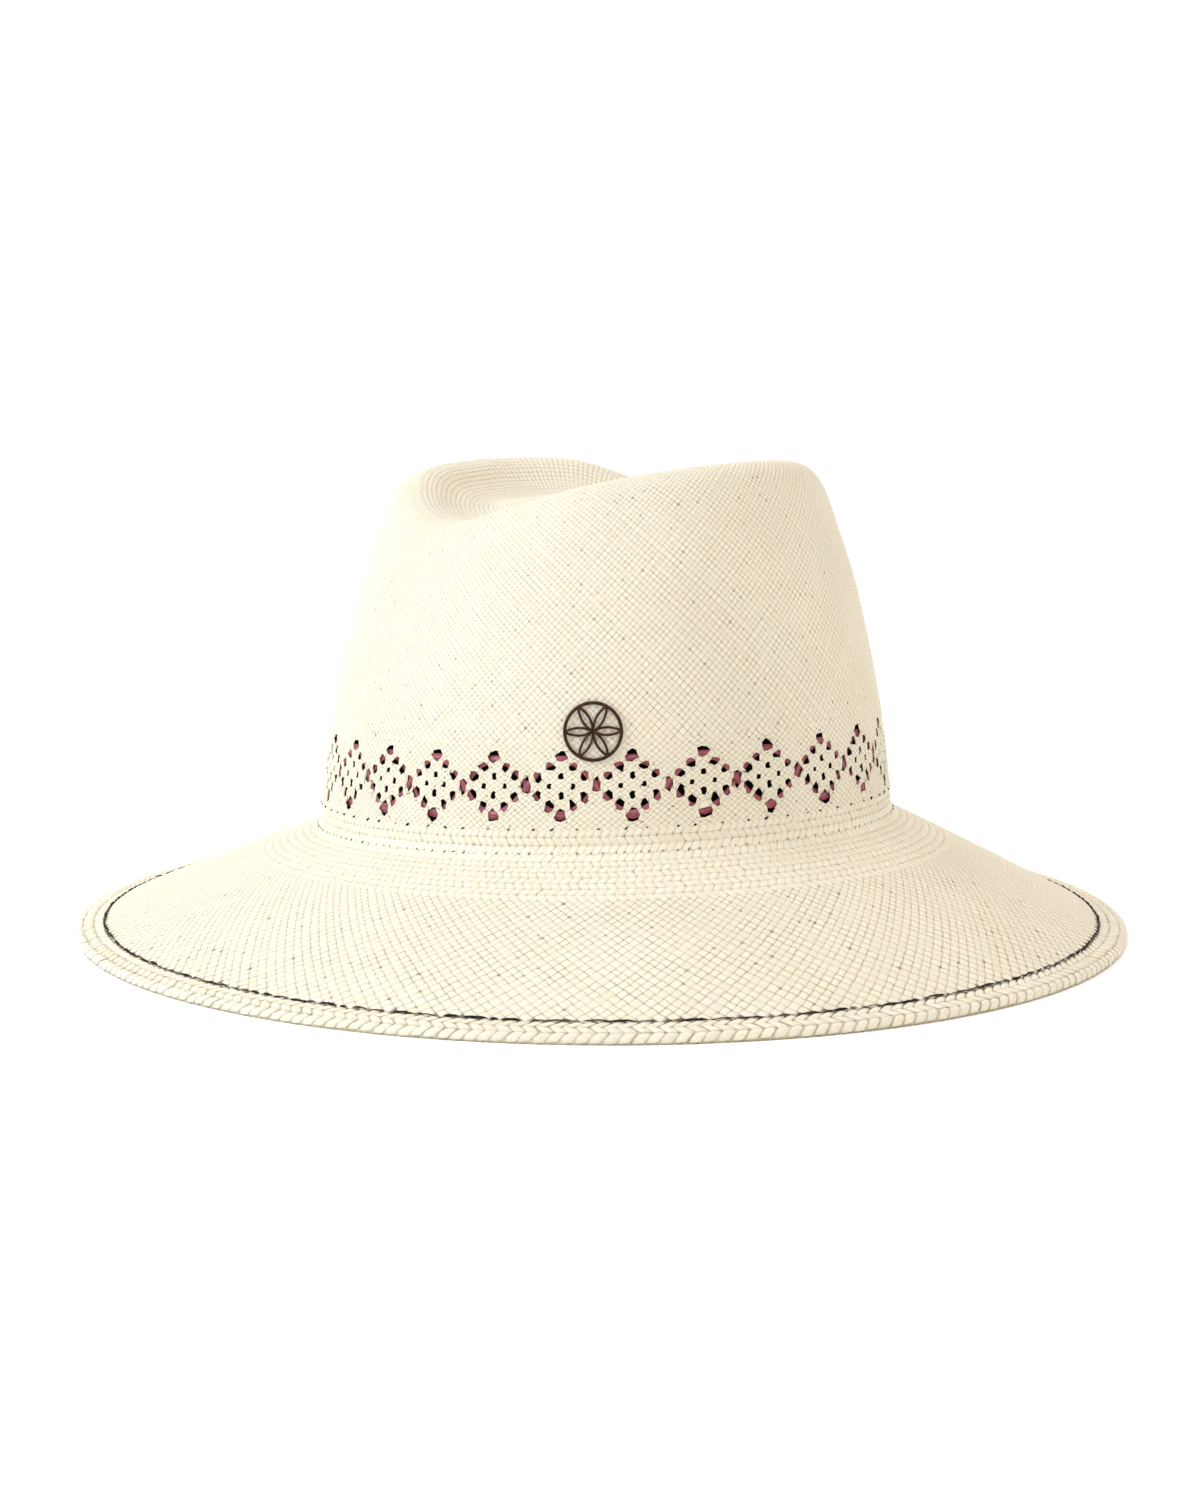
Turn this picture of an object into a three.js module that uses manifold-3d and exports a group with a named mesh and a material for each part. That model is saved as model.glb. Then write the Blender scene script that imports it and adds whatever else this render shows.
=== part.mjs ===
// A straw fedora: a woven crown with a dented top and a pierced band of diamonds, a sloping brim with a
// braided edge, a ribbon sweatband inside, two coloured straws behind the piercing and an openwork badge.
// Units are millimetres. +Z is up, the front is -Y, and the hat's own rim rests on z = 0.

import * as THREE from "three";
import { mergeVertices } from "three/addons/utils/BufferGeometryUtils.js";
import Module from "manifold-3d";

// Crown, measured outside the straw at the crease where it meets the brim.
const HEAD_LENGTH = 199;
const HEAD_WIDTH = 183;
const CROWN_HEIGHT = 119; // crease to the ridge, where the ridge is highest
const CREASE_TILT = 3.5; // degrees that the plane of the crease rises to the front
const CROWN_LEAN = 3.7; // degrees that the crown leans forward from square to its crease
const CROWN_FORWARD = 2; // middle of the crease in front of the middle of the rim
const CREASE_HEIGHT = 38.5; // above the surface that the hat rests on, half way along
const STRAW_THICKNESS = 1.6;
const TIP_HEIGHT = 108; // middle of the dented top, above the crease
const DISH_DEPTH = 5; // trough that runs round inside the ridge
const TIP_BACK = 14; // how far behind the crown's middle line the weave of the top starts

// Brim and its braided edge.
const RIM_LENGTH = 354;
const RIM_WIDTH = 348;
const EDGE_WIDTH = 9.5;
const EDGE_THICKNESS = 2.4;
const REST_WIDTH = 3; // flat strip under the edge that the hat rests on

// Pierced band: diamonds set point to point round the crown, each with four windows.
const DIAMONDS = 26;
const BAND_BOTTOM = 10.8; // above the crease
const BAND_HEIGHT = 21.4;
const BAND_PHASE = 0.42; // shares of one diamond between the front and the first diamond's middle
const WINDOW_BAR = 1.5; // straw left between a window and the middle line of the bar beside it

// Ribbon sweatband and the two coloured straws between it and the crown.
const SWEATBAND_HEIGHT = 34;
const SWEATBAND_THICKNESS = 0.9;
const STRAND_WIDTH = 2.4;
const STRAND_THICKNESS = 0.5;

// Badge: a ring with a six-petalled rosette inside.
const BADGE_DIAMETER = 19;
const BADGE_BAR = 1.1;
const BADGE_THICKNESS = 1;
const BADGE_HEIGHT = 38.5; // its middle above the crease
const BADGE_ANGLE = -44.5; // degrees round from the front
const BADGE_SIDES = 30;
const PETALS = 6;

const GAP = 0.3; // clearance between neighbouring pieces
const CROWN_COLUMNS = 2 * DIAMONDS;
const BRIM_COLUMNS = 60;

// The crown's wall from the crease up to the ridge: height as a share of the ridge's height there, and
// reach as a share of the oval at the crease.
const CROWN_WALL = [
  { name: "crease", height: 0, reach: 1 },
  { name: "under the band", height: 0.076, reach: 0.996 },
  { name: "over the band", height: 0.3, reach: 0.962 },
  { name: "lower wall", height: 0.43, reach: 0.934 },
  { name: "middle wall", height: 0.56, reach: 0.902 },
  { name: "upper wall", height: 0.7, reach: 0.865 },
  { name: "shoulder", height: 0.82, reach: 0.824 },
  { name: "under the ridge", height: 0.91, reach: 0.785 },
  { name: "ridge outside", height: 0.968, reach: 0.742 },
  { name: "ridge bend", height: 0.993, reach: 0.698 },
  { name: "ridge", height: 1, reach: 0.655 },
];

// The dented top from the ridge in to the middle: reach as a share of the ridge's, sink as the share of the
// way from the ridge's height to the height of the middle, and dish as a share of the trough's depth.
const CROWN_TOP = [
  { name: "ridge", reach: 1, sink: 0, dish: 0 },
  { name: "ridge inside", reach: 0.9, sink: 0.1, dish: 0.2 },
  { name: "dent slope", reach: 0.76, sink: 0.42, dish: 0.8 },
  { name: "dent foot", reach: 0.57, sink: 0.78, dish: 1 },
  { name: "dent floor", reach: 0.32, sink: 0.96, dish: 0.5 },
];

// The ridge round one side, from the front to the back: its height as a share of the crown's height, and
// its reach beside that of an even ridge.
const RIDGE = [
  { name: "nose", angle: 0, height: 1, reach: 1.02 },
  { name: "nose side", angle: 22, height: 0.99, reach: 1.02 },
  { name: "pinch", angle: 48, height: 0.955, reach: 0.99 },
  { name: "pinch back", angle: 72, height: 0.9, reach: 0.97 },
  { name: "saddle", angle: 98, height: 0.857, reach: 0.965 },
  { name: "saddle back", angle: 122, height: 0.895, reach: 0.98 },
  { name: "back side", angle: 148, height: 0.973, reach: 1 },
  { name: "back", angle: 180, height: 0.99, reach: 1.01 },
];

// Hand-pressed dents in the wall, the same on both sides: depth as a share of the reach at the crease.
const DENTS = [
  { name: "front pinch", angle: 36, height: 0.85, depth: 0.014, turn: 16, rise: 0.16 },
  { name: "side dent", angle: 98, height: 0.93, depth: 0.02, turn: 26, rise: 0.2 },
];

// The brim from the crease out to its edge: height as a share of the crease's height above the edge.
const BRIM_SECTION = [
  { name: "crease", share: 0, height: 1 },
  { name: "crease bend", share: 0.06, height: 0.955 },
  { name: "inner slope", share: 0.22, height: 0.79 },
  { name: "middle slope", share: 0.46, height: 0.53 },
  { name: "outer slope", share: 0.7, height: 0.265 },
  { name: "edge", share: 0.89, height: 0.062 },
  { name: "rim", share: 1, height: 0 },
];

const STRAW = new THREE.MeshStandardMaterial({ color: 0xeae3cd, roughness: 0.62 });
const BRAID = new THREE.MeshStandardMaterial({ color: 0xe6dec6, roughness: 0.66 });
const BURGUNDY = new THREE.MeshStandardMaterial({ color: 0x733a3e, roughness: 0.6 });
const RIBBON = new THREE.MeshStandardMaterial({ color: 0x16140f, roughness: 0.9 });
const BRONZE = new THREE.MeshStandardMaterial({ color: 0x3b2a20, roughness: 0.45, metalness: 0.85 });

const wasm = await Module();
wasm.setup();

// Value of one column of a table at x in another, on a smooth curve through the rows.
function readTable(rows, from, to, x) {
  const last = rows.length - 1;
  let i = 0;
  while (i < last - 1 && x > rows[i + 1][from]) i++;
  const slope = (k) => {
    const a = rows[Math.max(k - 1, 0)];
    const b = rows[Math.min(k + 1, last)];
    return (b[to] - a[to]) / (b[from] - a[from]);
  };
  const width = rows[i + 1][from] - rows[i][from];
  const t = THREE.MathUtils.clamp((x - rows[i][from]) / width, 0, 1);
  const rise = rows[i + 1][to] - rows[i][to];
  const start = slope(i) * width;
  const end = slope(i + 1) * width;
  return rows[i][to] + t * (start + t * (3 * rise - 2 * start - end + t * (start + end - 2 * rise)));
}

// Degrees from the front, 0 to 180, of a place on either side.
function sideAngle(angle) {
  return Math.abs(THREE.MathUtils.euclideanModulo(angle + 180, 360) - 180);
}

// Angles that share the oval at the crease into equal lengths; share 0 is the front.
const OVAL_STEPS = 720;
const ovalLengths = [0];
for (let i = 1; i <= OVAL_STEPS; i++) {
  const at = ((i - 0.5) / OVAL_STEPS) * 2 * Math.PI;
  const step = Math.hypot(HEAD_WIDTH * Math.cos(at), HEAD_LENGTH * Math.sin(at));
  ovalLengths.push(ovalLengths[i - 1] + step);
}
function angleAt(share) {
  const turns = Math.floor(share);
  const length = (share - turns) * ovalLengths[OVAL_STEPS];
  let i = 1;
  while (ovalLengths[i] < length) i++;
  const part = (length - ovalLengths[i - 1]) / (ovalLengths[i] - ovalLengths[i - 1]);
  return ((i - 1 + part) / OVAL_STEPS + turns) * 360;
}

// Point of an oval of the given length and width.
function ovalPoint(angle, length, width, z) {
  const a = THREE.MathUtils.degToRad(angle);
  return new THREE.Vector3((width / 2) * Math.sin(a), (-length / 2) * Math.cos(a), z);
}

function ridgeHeight(angle) {
  return CROWN_HEIGHT * readTable(RIDGE, "angle", "height", sideAngle(angle));
}

const leanSlope = Math.tan(THREE.MathUtils.degToRad(CROWN_LEAN));
const tip = new THREE.Vector3(0, TIP_BACK - TIP_HEIGHT * leanSlope, TIP_HEIGHT);

// Outside of the crown's wall, at a height above the crease.
function wallPoint(angle, height) {
  const side = sideAngle(angle);
  const share = height / ridgeHeight(angle);
  const narrow = readTable(RIDGE, "angle", "reach", side) - 1;
  let reach = readTable(CROWN_WALL, "height", "reach", share);
  reach *= 1 + narrow * THREE.MathUtils.smoothstep(share, 0.35, 1);
  for (const dent of DENTS) {
    const turn = (side - dent.angle) / dent.turn;
    const rise = (share - dent.height) / dent.rise;
    reach -= dent.depth * Math.exp(-turn * turn - rise * rise);
  }
  const point = ovalPoint(angle, HEAD_LENGTH * reach, HEAD_WIDTH * reach, height);
  point.y -= height * leanSlope;
  return point;
}

// Direction straight out of the crown's wall.
function wallNormal(angle, height) {
  const round = wallPoint(angle + 1, height).sub(wallPoint(angle - 1, height));
  const up = wallPoint(angle, height + 1).sub(wallPoint(angle, Math.max(height - 1, 0)));
  return round.cross(up).normalize();
}

function insideWall(angle, height, depth) {
  return wallPoint(angle, height).addScaledVector(wallNormal(angle, height), -depth);
}

// Point of the dented top, on the line from the ridge in to the middle.
function topPoint(angle, row) {
  const ridge = wallPoint(angle, ridgeHeight(angle));
  const point = tip.clone().lerp(ridge, row.reach);
  point.z = THREE.MathUtils.lerp(ridge.z, tip.z, row.sink) - DISH_DEPTH * row.dish;
  return point;
}

// Place on the hat of a point that is measured from the crown's crease.
const crownPlace = new THREE.Object3D();
crownPlace.position.set(0, -CROWN_FORWARD, CREASE_HEIGHT);
crownPlace.rotation.x = THREE.MathUtils.degToRad(-CREASE_TILT);
crownPlace.updateMatrixWorld(true);

// Upper face of the brim at a share of the way from the crease to the rim.
function brimPoint(angle, share) {
  const crease = ovalPoint(angle, HEAD_LENGTH, HEAD_WIDTH, -GAP).applyMatrix4(crownPlace.matrixWorld);
  const rim = ovalPoint(angle, RIM_LENGTH, RIM_WIDTH, EDGE_THICKNESS);
  const point = crease.clone().lerp(rim, share);
  const height = readTable(BRIM_SECTION, "share", "height", share);
  point.z = THREE.MathUtils.lerp(rim.z, crease.z, height);
  return point;
}

// Columns that share the oval evenly, with one at the middle of each diamond of the band.
function anglesRound(columns) {
  return Array.from({ length: columns }, (_, i) => angleAt(i / columns + BAND_PHASE / DIAMONDS));
}

// Geometry from points and triangles that name them.
function meshOf(points, faces) {
  const geometry = new THREE.BufferGeometry().setFromPoints(points);
  geometry.setIndex(faces.flat());
  return geometry;
}

// Closed ring of sections: each section is a loop of points, and the last joins the first.
function ringOf(sections) {
  const size = sections[0].length;
  const faces = [];
  sections.forEach((_, i) => {
    const next = (i + 1) % sections.length;
    for (let k = 0; k < size; k++) {
      const up = (k + 1) % size;
      faces.push([i * size + k, next * size + k, next * size + up]);
      faces.push([i * size + k, next * size + up, i * size + up]);
    }
  });
  return meshOf(sections.flat(), faces);
}

// Directions straight out of a sheet of rings: each vertex looks along its ring and up to the next ring.
function sheetNormals(rings) {
  return rings.map((ring, r) =>
    ring.map((_, c) => {
      const before = ring[(c + ring.length - 1) % ring.length];
      const after = ring[(c + 1) % ring.length];
      const below = rings[Math.max(r - 1, 0)][c];
      const above = rings[Math.min(r + 1, rings.length - 1)][c];
      return after.clone().sub(before).cross(above.clone().sub(below)).normalize();
    }),
  );
}

// A sheet of rings made into a wall of even thickness: the rings are its outside.
function wallOf(rings, thickness) {
  const normals = sheetNormals(rings);
  return rings[0].map((_, c) => {
    const outside = rings.map((ring) => ring[c]);
    const inside = rings.map((ring, r) => ring[c].clone().addScaledVector(normals[r][c], -thickness));
    return [...outside, ...inside.reverse()];
  });
}

// The crown is closed at its middle by a fan outside and one inside.
function crownGeometry() {
  const angles = anglesRound(CROWN_COLUMNS);
  const rings = CROWN_WALL.map((row) =>
    angles.map((angle) => wallPoint(angle, row.height * ridgeHeight(angle))),
  );
  rings.push(...CROWN_TOP.slice(1).map((row) => angles.map((angle) => topPoint(angle, row))));
  const columns = wallOf(rings, STRAW_THICKNESS);
  const size = columns[0].length;
  const last = rings.length - 1;
  const faces = [];
  const points = columns.flat();
  const outsideTip = points.push(tip.clone()) - 1;
  const insideTip = points.push(tip.clone().setZ(tip.z - STRAW_THICKNESS)) - 1;
  columns.forEach((_, c) => {
    const here = c * size;
    const next = ((c + 1) % columns.length) * size;
    for (let k = 0; k < size; k++) {
      const up = (k + 1) % size;
      if (k === last) continue;
      faces.push([here + k, next + k, next + up]);
      faces.push([here + k, next + up, here + up]);
    }
    faces.push([here + last, next + last, outsideTip]);
    faces.push([next + last + 1, here + last + 1, insideTip]);
  });
  return meshOf(points, faces);
}

function solidOf(geometry) {
  const plain = geometry.clone();
  plain.deleteAttribute("normal");
  plain.deleteAttribute("uv");
  const merged = mergeVertices(plain, 1e-4);
  const mesh = new wasm.Mesh({
    numProp: 3,
    vertProperties: new Float32Array(merged.attributes.position.array),
    triVerts: new Uint32Array(merged.index.array),
  });
  return new wasm.Manifold(mesh);
}

function geometryOf(solid) {
  const mesh = solid.getMesh();
  const geometry = new THREE.BufferGeometry();
  geometry.setAttribute("position", new THREE.BufferAttribute(mesh.vertProperties, 3));
  geometry.setIndex(new THREE.BufferAttribute(mesh.triVerts, 1));
  return geometry;
}

// Places a flat shape on the crown's wall: x runs round, y runs up and z points out.
function placeOnWall(geometry, angle, height, depth) {
  const out = wallNormal(angle, height);
  const up = new THREE.Vector3(0, 0, 1).addScaledVector(out, -out.z).normalize();
  const round = up.clone().cross(out);
  const place = new THREE.Matrix4().makeBasis(round, up, out);
  place.setPosition(insideWall(angle, height, depth));
  return geometry.applyMatrix4(place);
}

const diamondPitch = 1 / DIAMONDS;
const diamondWidth = wallPoint(0, BAND_BOTTOM).distanceTo(wallPoint(angleAt(diamondPitch), BAND_BOTTOM));
const diamondMiddle = (k) => (k + BAND_PHASE) * diamondPitch;

// One window: a small diamond that goes right through the straw.
function windowCutter(share, height) {
  const half = diamondWidth / 4 - WINDOW_BAR;
  const rise = BAND_HEIGHT / 4 - WINDOW_BAR * (BAND_HEIGHT / diamondWidth);
  const shape = new THREE.Shape();
  shape.moveTo(half, 0);
  shape.lineTo(0, rise);
  shape.lineTo(-half, 0);
  shape.lineTo(0, -rise);
  shape.closePath();
  const depth = 4 * STRAW_THICKNESS;
  const cutter = new THREE.ExtrudeGeometry(shape, { depth, bevelEnabled: false });
  cutter.translate(0, 0, -depth / 2);
  return placeOnWall(cutter, angleAt(share), height, STRAW_THICKNESS / 2);
}

function pierceBand(crown) {
  const middle = BAND_BOTTOM + BAND_HEIGHT / 2;
  const windows = [
    { round: 0, up: 0.25 },
    { round: 0, up: -0.25 },
    { round: 0.25, up: 0 },
    { round: -0.25, up: 0 },
  ];
  let pierced = solidOf(crown);
  for (let k = 0; k < DIAMONDS; k++) {
    for (const place of windows) {
      const share = diamondMiddle(k) + place.round * diamondPitch;
      const cutter = windowCutter(share, middle + place.up * BAND_HEIGHT);
      pierced = pierced.subtract(solidOf(cutter));
    }
  }
  return geometryOf(pierced);
}

// The brim starts under the crown's wall and ends a gap short of its braided edge.
const edgeShare = 1 - EDGE_WIDTH / ((RIM_WIDTH - HEAD_WIDTH) / 2);
const brimEndShare = edgeShare - GAP / ((RIM_WIDTH - HEAD_WIDTH) / 2);
function brimGeometry() {
  const angles = anglesRound(BRIM_COLUMNS);
  const inner = (angle) => {
    const length = HEAD_LENGTH - 2 * STRAW_THICKNESS;
    const width = HEAD_WIDTH - 2 * STRAW_THICKNESS;
    return ovalPoint(angle, length, width, -GAP).applyMatrix4(crownPlace.matrixWorld);
  };
  const shares = BRIM_SECTION.map((row) => row.share).filter((share) => share < brimEndShare);
  shares.push(brimEndShare);
  const rings = [...shares].reverse().map((share) => angles.map((angle) => brimPoint(angle, share)));
  rings.push(angles.map(inner));
  return ringOf(wallOf(rings, STRAW_THICKNESS));
}

// Braided edge: a flat strip lies on the ground, and the rest follows the slope of the brim.
function edgeGeometry() {
  const sections = anglesRound(BRIM_COLUMNS).map((angle) => {
    const inTop = brimPoint(angle, edgeShare);
    const bump = brimPoint(angle, (edgeShare + 1) / 2);
    bump.z += EDGE_THICKNESS / 4;
    const outTop = brimPoint(angle, 1);
    const outBottom = ovalPoint(angle, RIM_LENGTH, RIM_WIDTH, 0);
    const inset = 2 * REST_WIDTH;
    const restEnd = ovalPoint(angle, RIM_LENGTH - inset, RIM_WIDTH - inset, 0);
    const inBottom = inTop.clone();
    inBottom.z -= EDGE_THICKNESS;
    return [outBottom, outTop, bump, inTop, inBottom, restEnd];
  });
  return ringOf(sections);
}

// Ribbon that lines the head opening, behind the two coloured straws.
function sweatbandGeometry() {
  const depth = STRAW_THICKNESS + 2 * STRAND_THICKNESS + 3 * GAP;
  const heights = [GAP, SWEATBAND_HEIGHT];
  const rings = heights.map((height) =>
    anglesRound(CROWN_COLUMNS).map((angle) => insideWall(angle, height, depth)),
  );
  return ringOf(wallOf(rings, SWEATBAND_THICKNESS));
}

// Coloured straw that runs round in a zigzag along the edges of the diamonds.
function strandGeometry(first, depth) {
  const middle = BAND_BOTTOM + BAND_HEIGHT / 2;
  const sections = [];
  for (let k = 0; k < 2 * DIAMONDS; k++) {
    const share = diamondMiddle(k / 2);
    const swing = [1, 0, -1, 0][(k + first) % 4];
    const height = middle + (swing * BAND_HEIGHT) / 2;
    const angle = angleAt(share);
    const low = height - STRAND_WIDTH / 2;
    const high = height + STRAND_WIDTH / 2;
    sections.push([
      insideWall(angle, low, depth),
      insideWall(angle, high, depth),
      insideWall(angle, high, depth + STRAND_THICKNESS),
      insideWall(angle, low, depth + STRAND_THICKNESS),
    ]);
  }
  return ringOf(sections);
}

// Ring round a six-petalled rosette: each petal lies between two arcs that have the ring's own radius.
function badgeGeometry() {
  const outer = BADGE_DIAMETER / 2;
  const radius = outer - BADGE_BAR / 2;
  const bulge = (r) => Math.sqrt(radius ** 2 - (r - radius / 2) ** 2) - (radius * Math.sqrt(3)) / 2;
  const turned = (x, y, turn) => new THREE.Vector2(x, y).rotateAround(new THREE.Vector2(), turn);
  const onCircle = (r, degrees) => turned(r, 0, THREE.MathUtils.degToRad(degrees));
  const circle = Array.from({ length: BADGE_SIDES }, (_, i) => onCircle(outer, (360 * i) / BADGE_SIDES));
  const disc = new THREE.Shape(circle);
  for (let k = 0; k < PETALS; k++) {
    const turn = (k * 2 * Math.PI) / PETALS;
    const nextTurn = turn + (2 * Math.PI) / PETALS;
    const along = [0.3, 0.5, 0.7].map((share) => share * radius);
    const inside = (r) => bulge(r) - BADGE_BAR / 2;
    disc.holes.push(
      new THREE.Path([
        turned(0.15 * radius, 0, turn),
        ...along.map((r) => turned(r, -inside(r), turn)),
        turned(0.85 * radius, 0, turn),
        ...along.reverse().map((r) => turned(r, inside(r), turn)),
      ]),
    );
    const beside = [0.38, 0.6, 0.82].map((share) => share * radius);
    const outside = (r) => bulge(r) + BADGE_BAR / 2;
    disc.holes.push(
      new THREE.Path([
        ...beside.map((r) => turned(r, outside(r), turn)),
        ...[15, 30, 45].map((degrees) => onCircle(radius - BADGE_BAR / 2, degrees + (360 * k) / PETALS)),
        ...beside.reverse().map((r) => turned(r, -outside(r), nextTurn)),
      ]),
    );
  }
  return new THREE.ExtrudeGeometry(disc, { depth: BADGE_THICKNESS, bevelEnabled: false });
}

function pieceOf(name, geometry, material) {
  const mesh = new THREE.Mesh(geometry, material);
  mesh.name = name;
  return mesh;
}

const crownPieces = new THREE.Group();
crownPieces.position.copy(crownPlace.position);
crownPieces.rotation.copy(crownPlace.rotation);
const strandDepth = STRAW_THICKNESS + GAP;
crownPieces.add(
  pieceOf("crown", pierceBand(crownGeometry()), STRAW),
  pieceOf("sweatband", sweatbandGeometry(), RIBBON),
  pieceOf("zigzag_strand_a", strandGeometry(0, strandDepth), BURGUNDY),
  pieceOf("zigzag_strand_b", strandGeometry(2, strandDepth + STRAND_THICKNESS + GAP), BURGUNDY),
  pieceOf("badge", placeOnWall(badgeGeometry(), BADGE_ANGLE, BADGE_HEIGHT, -GAP), BRONZE),
);

const hat = new THREE.Group();
hat.add(crownPieces);
hat.add(pieceOf("brim", brimGeometry(), STRAW));
hat.add(pieceOf("edge_braid", edgeGeometry(), BRAID));

export default hat;
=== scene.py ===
import math

import bpy
import numpy as np
from mathutils import Matrix, Vector


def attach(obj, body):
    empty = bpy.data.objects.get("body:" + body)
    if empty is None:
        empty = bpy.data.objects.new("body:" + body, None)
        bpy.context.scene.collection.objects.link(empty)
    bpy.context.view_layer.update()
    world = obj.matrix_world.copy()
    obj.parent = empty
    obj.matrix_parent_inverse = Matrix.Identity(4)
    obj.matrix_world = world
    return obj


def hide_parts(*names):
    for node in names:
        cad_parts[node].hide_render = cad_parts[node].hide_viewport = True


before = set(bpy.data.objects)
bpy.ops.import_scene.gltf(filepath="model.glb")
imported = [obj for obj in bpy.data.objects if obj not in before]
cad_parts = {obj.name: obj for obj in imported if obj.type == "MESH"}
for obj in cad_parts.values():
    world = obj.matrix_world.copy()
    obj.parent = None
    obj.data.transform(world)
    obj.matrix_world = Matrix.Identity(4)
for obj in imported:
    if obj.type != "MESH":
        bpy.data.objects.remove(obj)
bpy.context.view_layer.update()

bl_info = {
    "name": "Straw fedora",
    "version": (1, 0, 0),
    "blender": (4, 5, 0),
    "location": "3D View > Sidebar > Straw fedora",
    "description": "Weaves, plaits and stitches a straw fedora round its plain solids",
    "category": "Object",
}

# The hat's own form, in millimetres and degrees: the same sizes as its solids have.
HEAD_LENGTH, HEAD_WIDTH = 199.0, 183.0
CROWN_HEIGHT = 119.0
CREASE_TILT = 3.5
LEAN = math.tan(math.radians(3.7))
CROWN_FORWARD = 2.0
CREASE_HEIGHT = 38.5
STRAW_THICKNESS = 1.6
TIP_HEIGHT, TIP_BACK, DISH_DEPTH = 108.0, 14.0, 5.0
RIM_LENGTH, RIM_WIDTH = 354.0, 348.0
EDGE_WIDTH, EDGE_THICKNESS, REST_WIDTH = 9.5, 2.4, 3.0
DIAMONDS, BAND_BOTTOM, BAND_HEIGHT, BAND_PHASE = 26, 10.8, 21.4, 0.42
SWEATBAND_HEIGHT, SWEATBAND_THICKNESS = 34.0, 0.9
STRAND_WIDTH, STRAND_THICKNESS = 2.4, 0.5
BADGE_DIAMETER, BADGE_BAR, BADGE_THICKNESS = 19.0, 1.1, 1.0
BADGE_HEIGHT, BADGE_ANGLE, PETALS = 38.5, -44.5, 6
GAP = 0.3
FILLET, FILLET_DROP = 4.0, 0.6

# Crown's wall: height as a share of the ridge's, reach as a share of the oval at the crease.
CROWN_WALL = [
    (0, 1),
    (0.076, 0.996),
    (0.3, 0.962),
    (0.43, 0.934),
    (0.56, 0.902),
    (0.7, 0.865),
    (0.82, 0.824),
    (0.91, 0.785),
    (0.968, 0.742),
    (0.993, 0.698),
    (1, 0.655),
]
# Dented top: reach as a share of the ridge's, then the sink towards the tip, then the dish.
CROWN_TOP = [
    (0, 1, 0),
    (0.32, 0.96, 0.5),
    (0.57, 0.78, 1),
    (0.76, 0.42, 0.8),
    (0.9, 0.1, 0.2),
    (1, 0, 0),
]
# Ridge: degrees from the front, its height as a share of the crown's, its reach.
RIDGE = [
    (0, 1, 1.02),
    (22, 0.99, 1.02),
    (48, 0.955, 0.99),
    (72, 0.9, 0.97),
    (98, 0.857, 0.965),
    (122, 0.895, 0.98),
    (148, 0.973, 1),
    (180, 0.99, 1.01),
]
# Hand-pressed dents: degrees, height, depth, turn and rise.
DENTS = [(36, 0.85, 0.014, 16, 0.16), (98, 0.93, 0.02, 26, 0.2)]
# Brim: share of the way out, height as a share of the crease's.
BRIM_SECTION = [
    (0, 1),
    (0.06, 0.955),
    (0.22, 0.79),
    (0.46, 0.53),
    (0.7, 0.265),
    (0.89, 0.062),
    (1, 0),
]

# How the straw is woven: straws of each slant, and rows counted from the band's middle.
STRAWS = 9 * DIAMONDS
BAND_ROW = 2.067
BAND_MIDDLE = BAND_BOTTOM + BAND_HEIGHT / 2
BAND_TOP_ROW = 6.5
FOOT_ROWS = 3
BRIM_FOOT_ROWS, BRIM_FOOT_SHARE = 8, 0.26
BRIM_WIDTH = (RIM_WIDTH - HEAD_WIDTH) / 2
EDGE_SHARE = 1 - EDGE_WIDTH / BRIM_WIDTH
CREASE_ROW = (FILLET / 4 - FILLET_DROP - BAND_MIDDLE) / BAND_ROW
CREASE_INWARD = 1 - FILLET / 4 / BRIM_WIDTH
EDGE_LEAVES = 10 * DIAMONDS
# Millimetres between straws of one slant at the band.
STRAW_PITCH = 2.5
# Rows over which the draw of loose corners repeats.
LOOSE_ROWS = 400
# The ridge's mean height as a share of the crown's.
MEAN_RIDGE = 0.93

# The view of the hat: degrees round from its front and up, metres, millimetres of lens.
CAMERA_ROUND, CAMERA_UP, CAMERA_DISTANCE, CAMERA_LENS = -40, 9.4, 1.5, 108
VIEW_MIDDLE = (0, 0, 0.06)
# Slightly warm, and over 1 with the fill's strength, so that the paper round the hat stays white.
ROOM_COLOUR = (1.1, 1.04, 1.0, 1)
# Cool lamps take some yellow out of the straw on the lit side.
LAMP_COLOUR = (0.68, 0.83, 1.0)


def smooth_table(rows, x, column=1):
    """Value of a table's column at x, on a smooth curve through its rows."""
    table = np.array(rows, float)
    places, values = table[:, 0], table[:, column]
    slope = np.empty(len(places))
    slope[1:-1] = (values[2:] - values[:-2]) / (places[2:] - places[:-2])
    slope[0] = (values[1] - values[0]) / (places[1] - places[0])
    slope[-1] = (values[-1] - values[-2]) / (places[-1] - places[-2])
    i = np.clip(np.searchsorted(places, x, side="right") - 1, 0, len(places) - 2)
    width = places[i + 1] - places[i]
    t = np.clip((x - places[i]) / width, 0, 1)
    rise = values[i + 1] - values[i]
    start, end = slope[i] * width, slope[i + 1] * width
    return values[i] + t * (start + t * (3 * rise - 2 * start - end + t * (start + end - 2 * rise)))


OVAL_STEPS = 720
OVAL_TURNS = (np.arange(OVAL_STEPS) + 0.5) / OVAL_STEPS * 2 * np.pi
OVAL_LENGTHS = np.concatenate(
    [[0], np.cumsum(np.hypot(HEAD_WIDTH * np.cos(OVAL_TURNS), HEAD_LENGTH * np.sin(OVAL_TURNS)))]
)


def angle_at(share):
    """Degrees from the front at an even share of the way round the head oval."""
    whole = np.floor(share)
    length = (share - whole) * OVAL_LENGTHS[-1]
    return (np.interp(length, OVAL_LENGTHS, np.arange(OVAL_STEPS + 1)) / OVAL_STEPS + whole) * 360


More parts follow.
